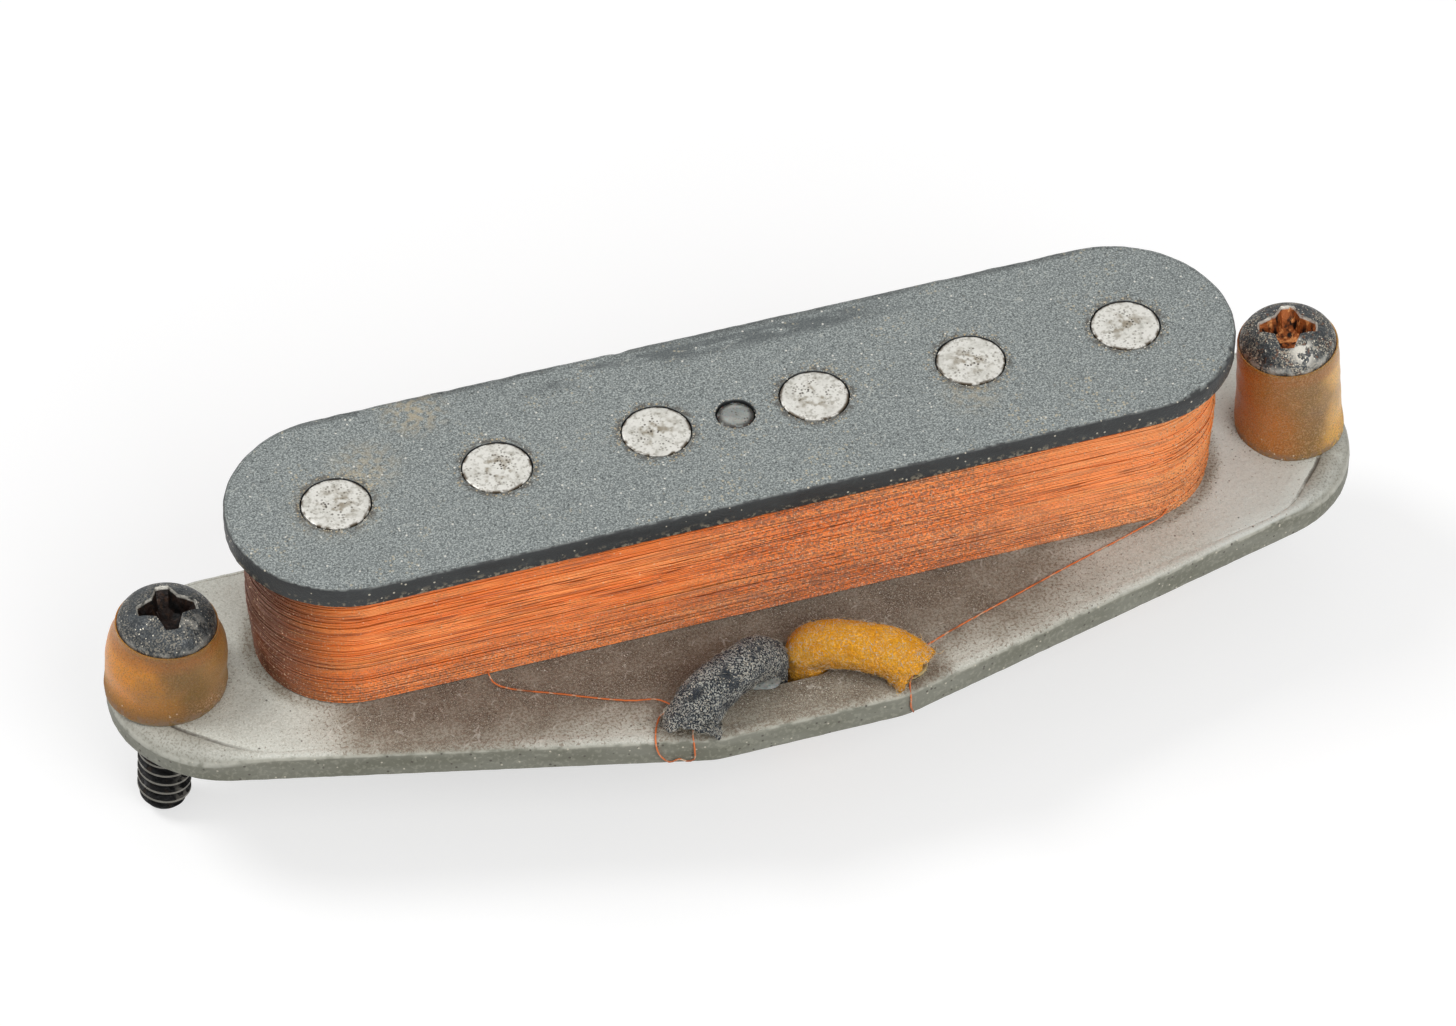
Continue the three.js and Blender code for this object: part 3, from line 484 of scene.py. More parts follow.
def coil_enamel(colours):
    # Fine copper wire in orange enamel, machine wound: silky, with hair-thin lighter and darker
    # streaks along the turns, brown dust low down and in the middle, and dust grains at the ends.
    # The dark left end is painted shade, and the paler right end is painted light.
    # A real turn is 0.06 mm thick; the streaks stand for a few turns each.
    material, place = new_finish(
        "enamelled_copper_winding", 0.4, Metallic=0.2, Coat_Weight=0.25, Coat_Roughness=0.35,
    )
    along, up = axis_of(place, "X"), axis_of(place, "Z")
    thin = clouds(place, 0.13, 0.44, 0.62, 2, (0.03, 0.03, 1))
    wide = clouds(place, 0.8, 0.4, 0.66, 3, (0.05, 0.05, 1))
    dark = clouds(place, 0.1, 0.54, 0.66, 2, (0.025, 0.025, 1))
    # Painted shade and light: left darkens the coil's left end as shade, and right pales its right end
    # as light.
    left = between(along, -27, -31.8)
    right = between(along, 6, 30)
    middle = between(along, -9, 2, 10, 24)
    low = between(up, PLATE_HIGH.z + 5.5, PLATE_HIGH.z + 0.3)
    dusty = clouds(place, 1.6, 0.32, 0.62, 5)
    fine = clouds(place, 0.2, 0.46, 0.6, 3)
    specks = clouds(place, 0.15, 0.5, 0.6, 2)
    ends = strongest(
        both(between(along, -25, -29), 0.4), between(along, 22, 30), both(low, 0.7), both(middle, 0.8),
    )
    colour = layered(
        colours.enamel,
        (wide, 0.6, "#ffaa5e"),
        (thin, 0.5, "#d9681f"),
        (dark, 0.6, "#8f3f12"),
        # Painted light on the right end, and painted shade on the left end.
        (right, 0.35, "#ffb878"),
        (left, 0.92, "#43200e"),
        (low, dusty, 0.4, "#b06238"),
        (middle, fine, 0.8, "#8a5a40"),
        (low, specks, 0.6, "#80543b"),
        (dusty, specks, 0.3, "#96664a"),
        (ends, grains(place, 0.16, 0.4, 0.4), 0.9, "#dfbd9b"),
        (ends, grains(place, 0.18, 0.3, 0.4), 0.9, "#5f3a28"),
        (grains(place, 0.2, 0.08, 0.34), 0.8, "#e6c29e"),
    )
    return finished(material, colour, relief=summed((thin, 0.5), (wide, 0.5)), depth=0.02)


def loose_enamel(colours):
    # The same wire where it runs free: one turn thick, duller and browner with handling.
    material, place = new_finish(
        "loose_enamelled_wire", 0.4, Metallic=0.2, Coat_Weight=0.25, Coat_Roughness=0.35,
    )
    colour = layered(
        "#d97030",
        (clouds(place, 1.2, 0.5, 0.66), "#a0572a"),
        (clouds(place, 0.5, 0.52, 0.64), 0.7, "#c9b59a"),
    )
    return finished(material, colour)


def cloth(name, yarn, dark, pale, speck, soil, flecks):
    # Waxed cotton sleeve, braided and rubbed until it felts: matt, with a soft bloom at its
    # edges, trodden-in specks and loose fibre ends. The braid's strands are 0.6 mm wide.
    material, place = new_finish(
        name, 0.92, Sheen_Weight=0.12, Sheen_Roughness=0.45, Sheen_Tint=linear(pale),
    )
    tree = place.id_data
    spread = add_node(tree, "ShaderNodeSeparateXYZ", {0: add_node(tree, "ShaderNodeUVMap")}, out="X")
    along = spread.node.outputs["Y"]
    weave = between(both(*(add_node(tree, "ShaderNodeMath", {
        0: summed((spread, 2 * math.pi * 10), (along, way * 2 * math.pi / 0.62)),
    }, operation="SINE") for way in (-1, 1))), -0.8, 0.8)
    felt = clouds(place, 0.14, 0.4, 0.62, 4)
    lumps = clouds(place, 0.9, 0.36, 0.68, 3)
    colour = layered(
        yarn,
        (weave, 0.25, dark),
        (felt, 0.6, dark),
        (lumps, 0.4, pale),
        (between(along, 5.2 * MM, 2.6 * MM), clouds(place, 0.8, 0.3, 0.5), 0.7, soil),
        (facing_up(place, 0.3, -0.5), clouds(place, 0.5, 0.36, 0.6), 0.7, soil),
        (clouds(place, 0.11, 0.5, 0.58, 2), clouds(place, 1.1, 0.3, 0.54), flecks, speck),
        (facing_up(place, -0.1, 0.7), grains(place, 0.14, 0.3 * flecks, 0.42), 0.9, "#e6ddca"),
        (hairs(place, 0.7), 0.5 * flecks, speck),
    )
    return finished(
        material, colour,
        relief=summed((weave, 0.3), (felt, 0.7), (lumps, 0.4)), depth=0.12,
    )


def loose_fibre(name, code):
    # Single cotton fibres, pulled loose: thin and pale where light passes them.
    material, place = new_finish(name, 0.8)
    colour = layered(code, (clouds(place, 0.8, 0.4, 0.6), "#d9d2c2"))
    return finished(material, colour)


def soft_metal(name, shine, stain, roughness):
    # Soft tinned metal: bright but hazy, with a dull stain in its hollows.
    material, place = new_finish(name, roughness, Metallic=0.9)
    worn = clouds(place, 0.7, 0.42, 0.7, 4)
    return finished(
        material, layered(shine, (worn, stain)), gloss=(worn, roughness, roughness + 0.3),
        relief=clouds(place, 0.4, 0.3, 0.7), depth=0.02,
    )


def wax_finish(colours):
    # Old paraffin: greasy and half clear, grey with the dust that sticks to it.
    material, place = new_finish(
        "dusty_paraffin_wax", 0.45, Subsurface_Weight=0.25, Subsurface_Scale=0.001,
    )
    out = away_from(place, 0, ROW_Y)
    colour = layered(
        colours.wax,
        (clouds(place, 0.8, 0.4, 0.65), "#a2a49e"),
        (grains(place, 0.2, 0.35), "#5f605b"),
        (between(out, 0.72, 1.05, 1.6, 2.2), clouds(place, 0.4, 0.3, 0.5), "#3b3833"),
    )
    return finished(material, colour, relief=clouds(place, 0.35, 0.3, 0.7), depth=0.05)


def screw_steel(colours, name, stand, facts):
    # Blackened steel, handled for years: dark and satiny, rubbed bright in patches along the
    # cross recess and the rim, with rust in the hollows. The recess floor is painted near black
    # as shade, and the thread's crests are pale, partly with wear and partly as a painted highlight.
    material, place = new_finish(name, 0.5, Metallic=0.6)
    head, rust, wear = facts["head"], facts["rust"], facts["wear"]
    inverse = (stand @ Matrix.Rotation(facts["turn"], 4, "Z")).inverted()
    spots = [axis_of(place, name) for name in "XYZ"]
    x, y, z = [summed(*zip(spots, row), (1.0, row[3])) for row in inverse[:3]]
    out = reach_of(x, y)
    flatter = summed((both(out, out), -1 / HEAD_RADIUS ** 2), (1.0, 1.0))
    dome = add_node(place.id_data, "ShaderNodeMath", {0: flatter, 1: 0.5}, operation="POWER")
    depth = summed((dome, HEAD_CROWN), (z, -1.0), (1.0, head + HEAD_RIM))
    on_head = both(between(z, head - 0.3, head - 0.2), between(out, 2.8, 2.6))
    # Painted shade: the recess floor is laid near black as the shade in its hollow, and rust goes over
    # it.
    recess_shade_and_rust = both(between(depth, 0.09, 0.2), on_head)
    ragged = clouds(place, 0.45, 0.3, 0.5, 4)
    edge = both(between(depth, 0.008, 0.025, 0.2, 0.32), on_head, ragged)
    rim = both(between(out, 2.9, 3.1), between(z, head, head + 0.1), clouds(place, 0.8, 0.45, 0.6, 4))
    shank = between(z, head, head - 0.2)
    # Partly wear and partly a painted highlight: a pale line along the thread's crests.
    crest_wear_and_highlight = both(between(out, 1.7, 1.735), shank)
    spotted = both(clouds(place, 0.12, 0.51, 0.58, 2), clouds(place, 1.5, 0.38, 0.56))
    patch = reach_of(*(
        summed((part, 1.0), (1.0, -spot)) for part, spot in zip((x, y), facts["patch"])
    ))
    patch = both(between(patch, 1.2, 0.3), clouds(place, 0.5, 0.46, 0.56, 4), wear)
    colour = layered(
        colours.steel,
        (clouds(place, 1.1, 0.4, 0.7, 4), 0.5, "#454a4d"),
        (clouds(place, 0.13, 0.5, 0.62, 3), 0.5, "#6c6e6c"),
        (spotted, 0.3 + 0.55 * wear, "#a8a090"),
        (clouds(place, 0.3, 0.58, 0.66, 3), rust, 0.7, "#6b4630"),
        (grains(place, 0.15, 0.06 + 0.2 * wear, 0.4), 0.9, "#cfc8b8"),
        (rim, 0.2 + 0.6 * wear, "#b3b2ab"),
        (shank, "#0f0f10"),
        (shank, clouds(place, 0.5, 0.56, 0.7, 3), 0.3, "#4a3c30"),
        (crest_wear_and_highlight, 0.75, "#8d8a82"),
        (patch, "#d6d2c8"),
        (recess_shade_and_rust, "#0d0c0c"),
        (recess_shade_and_rust, clouds(place, 0.4, 0.36, 0.56, 3, (1, 1, 0.35)), rust, "#a05a2a"),
        (recess_shade_and_rust, clouds(place, 0.3, 0.56, 0.66, 3, (1, 1, 0.35)), rust, "#d8955a"),
        (edge, 0.75 + 0.25 * wear, "#c9c6bd"),
    )
    return finished(
        material, colour, gloss=(clouds(place, 0.5, 0.3, 0.7), 0.42, 0.7),
        relief=clouds(place, 0.3, 0.3, 0.7, 4), depth=0.03,
    )


def latex_rubber(colours, name, facts):
    # Amber latex tube: light soaks in a little. Its sides are painted with light and shade: a bright
    # orange glow on the lit side, and darker olive-brown in the middle and on the shaded side.
    # Pinkish brown dust clings to its lower half in fine specks.
    material, place = new_finish(
        name, 0.42, Subsurface_Weight=0.4, Subsurface_Scale=0.002, Subsurface_Radius=(1.0, 0.42, 0.12),
    )
    along, up = axis_of(place, "X", facts["centre"]), axis_of(place, "Z", PLATE_HIGH.z)
    drift = summed((clouds(place, 4, 0.2, 0.8, 2), 2.4), (along, 1.0), (1.0, -1.2))
    # left and right mask the tube's two sides, which carry painted light and shade.
    left, right = between(drift, 0.4, -3.4), between(drift, 0.2, 3.3)
    foot, base = [between(up, height, 0.2) for height in (facts["dust_height"], 0.8)]
    neck = between(up, facts["height"] - 1.0, facts["height"] - 0.2)
    specks = clouds(place, 0.11, 0.52, 0.6, 2)
    dusted = both(between(drift, -1.5, 2.5), clouds(place, 1.4, 0.36, 0.6))
    # The middle, left and right colours are painted shade and light, not the latex's own tone.
    colour = layered(
        facts["middle"],
        (left, facts["left"]),
        (right, facts["right"]),
        (neck, 0.6, colours.latex),
        (foot, facts["low"], "#7a5c38"),
        (clouds(place, 0.1, 0.52, 0.6, 2), 0.4, "#5f4224"),
        (specks, facts["dust"], "#c79d6c"),
        (dusted, foot, specks, "#bd9878"),
        (base, clouds(place, 0.35, 0.4, 0.54), 0.75, "#8c7460"),
        (grains(place, 0.22, 0.12, 0.32), foot, "#dccdb6"),
    )
    return finished(
        material, colour, gloss=(foot, 0.36, 0.75),
        relief=summed((specks, 0.3), (clouds(place, 2, 0.3, 0.7, 2), 0.7)), depth=0.05,
    )


def crumb_finish(colours):
    # Dust, lint and crumbs of fibre: dry and pale, from cream to tan.
    material, place = new_finish("dry_dust_crumbs", 0.95)
    colour = layered(
        colours.dust,
        (clouds(place, 3, 0.42, 0.6), "#a2937a"),
        (clouds(place, 1, 0.52, 0.6), "#e6e3d8"),
    )
    return finished(material, colour)


# Meshes

class Shape:
    """Points in millimetres, and faces with a UV for each of their corners."""

    def __init__(self):
        self.points, self.faces, self.uvs = [], [], []

    def add(self, points, faces, uvs=None):
        start = len(self.points)
        self.points += [Vector(point) for point in points]
        self.faces += [[start + i for i in face] for face in faces]
        self.uvs += uvs or [[(0.0, 0.0)] * len(face) for face in faces]
        return self

    def add_rings(self, rings, heights=None, looped=False):
        """Joins rings of points with quads, and closes both ends with a fan unless looped."""
        sides, count = len(rings[0]), len(rings)
        heights = heights or [0.0] * count
        points = [point for ring in rings for point in ring]
        faces, uvs = [], []
        for i in range(count if looped else count - 1):
            j = (i + 1) % count
            for k in range(sides):
                m = (k + 1) % sides
                faces.append([i * sides + k, i * sides + m, j * sides + m, j * sides + k])
                uvs.append([(column / sides, heights[row])
                            for column, row in ((k, i), (k + 1, i), (k + 1, j), (k, j))])
        if not looped:
            for i in (0, count - 1):
                points.append(sum(rings[i], Vector((0, 0, 0))) / sides)
                for k in range(sides):
                    faces.append([i * sides + k, i * sides + (k + 1) % sides, len(points) - 1])
                    uvs.append([(column / sides, heights[i]) for column in (k, k + 1, k)])
        return self.add(points, faces, uvs)

    def moved(self, matrix):
        self.points = [matrix @ point for point in self.points]
        return self


def new_object(name, data):
    item = bpy.data.objects.new(name, data)
    bpy.context.scene.collection.objects.link(item)
    return item


def fill_mesh(mesh, sources, merged=False):
    """Fills a mesh with what some meshes hold, with all faces turned outwards."""
    work = bmesh.new()
    for source in sources:
        work.from_mesh(source)
    if merged:
        bmesh.ops.remove_doubles(work, verts=work.verts, dist=1e-7)
    bmesh.ops.recalc_face_normals(work, faces=work.faces)
    work.to_mesh(mesh)
    work.free()


def modified_mesh(piece):
    """The plain mesh that an object's modifiers make; the object itself goes."""
    graph = bpy.context.evaluated_depsgraph_get()
    mesh = bpy.data.meshes.new_from_object(piece.evaluated_get(graph), depsgraph=graph)
    bpy.data.objects.remove(piece)
    return mesh


def add_piece(name, shape, material, body="root", sharp=35):
    """Makes a closed, smooth piece of a shape, and lets it ride on a body."""
    mesh = bpy.data.meshes.new(name)
    mesh.from_pydata([point * MM for point in shape.points], [], shape.faces)
    layer = mesh.uv_layers.new(name="UVMap")
    layer.data.foreach_set("uv", [part for face in shape.uvs for uv in face for part in uv])
    fill_mesh(mesh, [mesh], merged=True)
    smooth(mesh, sharp)
    mesh.materials.append(material)
    piece = new_object(name, mesh)
    if body:
        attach(piece, body)
    return piece


def smooth(mesh, sharp):
    mesh.shade_smooth()
    mesh.set_sharp_from_angle(angle=math.radians(sharp))


def angles(count):
    """Even angles round a full turn."""
    return [2 * math.pi * i / count for i in range(count)]


def turned(angle, radius=1.0, height=0.0):
    """A point at an angle about Z."""
    return Vector((radius * math.cos(angle), radius * math.sin(angle), height))


def circle(centre, radius, count):
    return [Vector((centre[0] + radius * math.cos(angle), centre[1] + radius * math.sin(angle)))
            for angle in angles(count)]


def line_length(line):
    return sum((b - a).length for a, b in zip(line, line[1:]))


def stadium(centre, half_length, radius, step):
    """A closed outline with round ends, long in X, as 2D points."""
    straight = half_length - radius
    arc = max(8, round(math.pi * radius / step))
    run = max(1, round(2 * straight / step))
    points = []
    for side in (1, -1):
        for i in range(arc):
            angle = math.pi * (i / arc - 0.5)
            points.append(Vector((side * (straight + radius * math.cos(angle)),
                                  side * radius * math.sin(angle))))
        for i in range(run):
            points.append(Vector((side * lerp(straight, -straight, i / run), side * radius)))
    return [Vector(centre[:2]) + point for point in points]


def resampled(loop, step):
    """A closed outline with points an even step apart."""
    spots = [*loop, loop[0]]
    lengths = [0.0]
    for a, b in zip(spots, spots[1:]):
        lengths.append(lengths[-1] + (b - a).length)
    count = round(lengths[-1] / step)
    out, seat = [], 0
    for i in range(count):
        want = lengths[-1] * i / count
        while lengths[seat + 1] < want:
            seat += 1
        share = (want - lengths[seat]) / max(lengths[seat + 1] - lengths[seat], 1e-9)
        out.append(spots[seat].lerp(spots[seat + 1], share))
    return out


def outwards(loop):
    """The outward direction at each point of a counter-clockwise outline."""
    count = len(loop)
    runs = [loop[(i + 1) % count] - loop[i - 1] for i in range(count)]
    return [Vector((run.y, -run.x)).normalized() for run in runs]


def inside(points, loop):
    """Whether each 2D point lies within an outline."""
    x, y = np.array(points).T
    a = np.array([tuple(p) for p in loop])
    b = np.roll(a, -1, axis=0)
    hit = np.zeros(len(x), bool)
    for (x0, y0), (x1, y1) in zip(a, b):
        if y0 != y1:
            hit ^= ((y0 > y) != (y1 > y)) & (x < (x1 - x0) * (y - y0) / (y1 - y0) + x0)
    return hit


def flat_face(shape, outer, holes, height, spacing=0.0, swell=0.0, seed=0):
    """Fills a flat region between outlines with triangles, with points strewn between them."""
    loops = [outer, *holes]
    points, edges = [], []
    for loop in loops:
        start, count = len(points), len(loop)
        points += [Vector(point[:2]) for point in loop]
        edges += [(start + i, start + (i + 1) % count) for i in range(count)]
    if spacing:
        draw = random.Random(seed)
        low = [min(point[axis] for point in outer) for axis in (0, 1)]
        high = [max(point[axis] for point in outer) for axis in (0, 1)]
        nx, ny = [round((high[axis] - low[axis]) / spacing) for axis in (0, 1)]
        spots = [(lerp(low[0], high[0], i / nx) + draw.uniform(-0.3, 0.3) * spacing,
                  lerp(low[1], high[1], j / ny) + draw.uniform(-0.3, 0.3) * spacing)
                 for i in range(nx + 1) for j in range(ny + 1)]
        free = inside(spots, outer)
        for hole in holes:
            free &= ~inside(spots, hole)
        edge_spots = np.array([tuple(point) for point in points])
        spots = np.array(spots)[free]
        gap = np.sqrt(((spots[:, None] - edge_spots[None]) ** 2).sum(2)).min(1)
        points += [Vector(spot) for spot, room in zip(spots, gap) if room > spacing * 0.45]
    cut = delaunay_2d_cdt(points, edges, [], 0, 1e-6)
    corners, faces = cut[0], cut[2]
    centres = [tuple(sum((corners[i] for i in face), Vector((0, 0))) / len(face)) for face in faces]
    kept = inside(centres, outer)
    for hole in holes:
        kept &= ~inside(centres, hole)
    fixed = sum(len(loop) for loop in loops)
    heights = [height + (swell * noise.noise(Vector((p.x, p.y, seed)) * 0.35) if i >= fixed else 0)
               for i, p in enumerate(corners)]
    shape.add(
        [(p.x, p.y, z) for p, z in zip(corners, heights)],
        [face for face, keep in zip(faces, kept) if keep],
    )


def edge_rows(loop, way, low, high, bottom, top, ragged=0.0, rows=5):
    """Rings up a punched edge: a rounded bottom, the wall, and a rounded top.

    way is 1 for an outline and -1 for a hole, and bottom and top give (width, depth) of the
    rounding at a point."""
    normals = [normal * way for normal in outwards(loop)]
    rings = []

    def ring(widths, heights):
        points = []
        for point, normal, width, height in zip(loop, normals, widths, heights):
            rough = ragged * noise.noise(Vector((point.x, point.y, height * 2)) * 1.7)
            spot = point - normal * (width - rough)
            points.append(Vector((spot.x, spot.y, height)))
        rings.append(points)

    bends = [math.pi / 2 * i / (rows - 1) for i in range(rows)]
    feet, tops = [bottom(point) for point in loop], [top(point) for point in loop]
    for bend in bends:
        ring([w * (1 - math.sin(bend)) for w, _ in feet],
             [low + d * (1 - math.cos(bend)) for _, d in feet])
    for i in range(1, 4):
        ring([0] * len(loop), [lerp(low + below, high - above, i / 4)
                               for (_, below), (_, above) in zip(feet, tops)])
    for bend in bends:
        ring([w * (1 - math.cos(bend)) for w, _ in tops],
             [high - d * (1 - math.sin(bend)) for _, d in tops])
    for width, depth in ((0.14, 0.09), (0.3, 0.0)):
        ring([w + width * min(1, w) for w, _ in tops], [high - depth * d for _, d in tops])
    return rings


def even(width):
    """The same rounding at each point of an edge."""
    return lambda point: (width, width)


def plate_shape(outline, holes, low, high, bottom, top, spacing, swell, ragged, seed,
                wear=lambda point: 0.0):
    """A punched plate with its holes; bottom and top round its edges.

    Its outer wall's UV is how worn a point is, and how far up the edge it lies."""
    shape = Shape()
    walls = [edge_rows(outline, 1, low, high, bottom, top, ragged)]
    for loop, width in holes:
        walls.append(edge_rows(loop, -1, low, high, even(width), even(width), ragged))
    for rings in walls:
        sides, count = len(rings[0]), len(rings)
        faces, uvs = [], []
        for i in range(count - 1):
            for k in range(sides):
                corners = [(i, k), (i, (k + 1) % sides), (i + 1, (k + 1) % sides), (i + 1, k)]
                faces.append([row * sides + column for row, column in corners])
                uvs.append([(wear(rings[row][column]) if rings is walls[0] else 0.0, row / (count - 1))
                            for row, column in corners])
        shape.add([point for ring in rings for point in ring], faces, uvs)
    for end, height in ((-1, high), (0, low)):
        outer, *inner = [[point.xy for point in wall[end]] for wall in walls]
        flat_face(shape, outer, inner, height, spacing if end else 0.0, swell, seed)
    return shape


def turned_shape(profile, sides, shift=None):
    """A turned solid about Z from (radius, height) pairs; shift moves a point by (angle, r, z)."""
    shape = Shape()
    rings = []
    for radius, height in profile:
        rings.append([
            turned(angle, *(shift(angle, radius, height) if shift else (radius, height)))
            for angle in angles(sides)
        ])
    looped = profile[0][0] > 0 and profile[-1][0] > 0
    return shape.add_rings(rings, [height for _, height in profile], looped)


def smooth_line(points, step, pull=0.5):
    """Points an even step apart on a smooth curve through the given ones."""
    spots = [Vector(point) for point in points]
    spots = [spots[0] * 2 - spots[1], *spots, spots[-1] * 2 - spots[-2]]
    fine = []
    for a, b, c, d in zip(spots, spots[1:], spots[2:], spots[3:]):
        t1 = (b - a).length ** pull
        t2 = t1 + (c - b).length ** pull
        t3 = t2 + (d - c).length ** pull
        count = max(2, math.ceil((c - b).length / step * 3))
        for i in range(count):
            t = lerp(t1, t2, i / count)
            share = (t - t1) / (t2 - t1)
            ab, bc, cd = a.lerp(b, t / t1), b.lerp(c, share), c.lerp(d, (t - t2) / (t3 - t2))
            fine.append(ab.lerp(bc, t / t2).lerp(bc.lerp(cd, (t - t1) / (t3 - t1)), share))
    fine.append(spots[-2])
    lengths = np.concatenate([[0], np.cumsum([(q - p).length for p, q in zip(fine, fine[1:])])])
    count = max(2, round(lengths[-1] / step))
    at = np.linspace(0, lengths[-1], count + 1)
    return [Vector(spot) for spot in zip(*(np.interp(at, lengths, axis) for axis in zip(*fine)))]


def runs_of(line):
    """The way from the point before each point of a line to the one after it."""
    return [after - before for before, after in zip([line[0], *line], [*line[1:], line[-1]])]


def tube_rings(line, radius, sides, shift=None):
    """Rings round a line, turned as little as can be; shift gives what is added to the radius."""
    along = [run.normalized() for run in runs_of(line)]
    side = along[0].orthogonal().normalized()
    rings, heights, length = [], [], 0.0
    for i, (spot, ahead) in enumerate(zip(line, along)):
        if i:
            side = (side - ahead * side.dot(ahead)).normalized()
            length += (spot - line[i - 1]).length
        other = ahead.cross(side)
        rings.append([
            spot + (side * math.cos(angle) + other * math.sin(angle))
            * (radius + (shift(length, angle) if shift else 0)) for angle in angles(sides)
        ])
        heights.append(length)
    return rings, heights


def tube_shape(line, radius, sides, shift=None):
    return Shape().add_rings(*tube_rings(line, radius, sides, shift))


# Geometry Nodes

def new_tree(name, inputs):
    """A tree with named inputs after its geometry; returns the tree and its input sockets."""
    tree = bpy.data.node_groups.new(name, "GeometryNodeTree")
    for label, kind in {"Geometry": "Geometry", **inputs}.items():
        tree.interface.new_socket(label, in_out="INPUT", socket_type=f"NodeSocket{kind}")
    tree.interface.new_socket("Geometry", in_out="OUTPUT", socket_type="NodeSocketGeometry")
    return tree, add_node(tree, "NodeGroupInput").node.outputs


def closed_tree(geometry, material):
    """The tree of a geometry socket, ended with its instances made real and its material set."""
    tree = geometry.id_data
    real = add_node(tree, "GeometryNodeRealizeInstances", {0: geometry})
    painted = add_node(tree, "GeometryNodeSetMaterial", {"Geometry": real, "Material": material})
    add_node(tree, "NodeGroupOutput", {0: painted}, out=None)
    return tree


def round_tube(line, radius, sides):
    """A closed tube of this many sides along a curve."""
    section = add_node(line.id_data, "GeometryNodeCurvePrimitiveCircle", {
        "Resolution": sides, "Radius": radius,
    })
    return add_node(line.id_data, "GeometryNodeCurveToMesh", {
        "Curve": line, "Profile Curve": section, "Fill Caps": True,
    })


def grown_mesh(name, source, tree, values):
    """The plain mesh that a tree grows from a source mesh."""
    piece = new_object(name, source)
    growth = piece.modifiers.new("Growth", "NODES")
    growth.node_group = tree
    for item in tree.interface.items_tree:
        if item.in_out == "INPUT" and item.name in values:
            growth[item.identifier] = values[item.name]
    return modified_mesh(piece)


def grow_piece(name, source, tree, values, sharp=180):
    """Grows a piece with a tree, as a plain mesh that rides on the root."""
    mesh = grown_mesh(name, source, tree, values)
    mesh.name = name
    smooth(mesh, sharp)
    piece = new_object(name, mesh)
    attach(piece, "root")
    return piece


def point_mesh(name, points, **vectors):
    """A mesh of loose points in metres, with named vectors on them."""
    mesh = bpy.data.meshes.new(name)
    mesh.from_pydata([Vector(point) * MM for point in points], [], [])
    for label, values in vectors.items():
        layer = mesh.attributes.new(label, "FLOAT_VECTOR", "POINT")
        layer.data.foreach_set("vector", [part for value in values for part in value])
    return mesh


def winding_tree():
    """Layer winding: a wire that climbs round a loop of points turn by turn."""
    tree, given = new_tree("layer_winding", {
        "Loop Points": "Int", "Turns": "Int", "Stray Turns": "Int", "Wire": "Float", "Height": "Float",
        "Belly": "Float", "Material": "Material",
    })
    wires = []
    for stray in (False, True):
        turns = given["Stray Turns"] if stray else given["Turns"]
        line = add_node(tree, "GeometryNodeCurvePrimitiveLine", {"End": (1, 0, 0)})
        line = add_node(tree, "GeometryNodeResampleCurve", {
            "Curve": line, "Count": both(given["Loop Points"], turns),
        })
        index = add_node(tree, "GeometryNodeInputIndex")
        seat = add_node(tree, "ShaderNodeMath", {
            0: index, 1: given["Loop Points"],
        }, operation="FLOORED_MODULO")
        spot, outward = [
            add_node(tree, "GeometryNodeSampleIndex", {
                "Geometry": given["Geometry"], "Value": field, "Index": seat,
            }, data_type="FLOAT_VECTOR")
            for field in (add_node(tree, "GeometryNodeInputPosition"), add_node(
                tree, "GeometryNodeInputNamedAttribute", {"Name": "outward"}, data_type="FLOAT_VECTOR",
            ))
        ]
        turn = add_node(tree, "ShaderNodeMath", {
            0: index, 1: given["Loop Points"],
        }, operation="DIVIDE")
        share = add_node(tree, "ShaderNodeMath", {0: turn, 1: turns}, operation="DIVIDE")
        if stray:
            wave = add_node(tree, "ShaderNodeTexNoise", {
                "W": turn, "Scale": 0.7,
            }, noise_dimensions="1D")
            share = add_node(tree, "ShaderNodeMapRange", {
                0: wave, 1: 0.25, 2: 0.75, 3: 0.02, 4: 0.98,
            })
        jitter = add_node(tree, "ShaderNodeTexNoise", {
            "W": turn, "Scale": 1.1 if stray else 2.3, "Detail": 2.0,
        }, noise_dimensions="1D")
        bow = add_node(tree, "ShaderNodeMath", {0: both(share, math.pi)}, operation="SINE")
        out = both(bow, given["Belly"])
        uneven = add_node(tree, "ShaderNodeMapRange", {
            0: jitter, 1: 0.3, 2: 0.7, 3: 0.4 if stray else -0.35, 4: 1.1 if stray else 0.35,
        })
        out = summed((uneven, given["Wire"]), (out, 1.0))
        push = add_node(tree, "ShaderNodeVectorMath", {0: outward, "Scale": out}, operation="SCALE")
        lift = add_node(tree, "ShaderNodeCombineXYZ", {"Z": both(share, given["Height"])})
        place = spot
        for move in (push, lift):
            place = add_node(tree, "ShaderNodeVectorMath", {0: place, 1: move}, operation="ADD")
        line = add_node(tree, "GeometryNodeSetPosition", {"Geometry": line, "Position": place})
        wires.append(round_tube(line, both(given["Wire"], 0.5), 5))
    joined = add_node(tree, "GeometryNodeJoinGeometry", {0: wires[0]})
    tree.links.new(wires[1], joined.node.inputs[0])
    return closed_tree(joined, given["Material"])


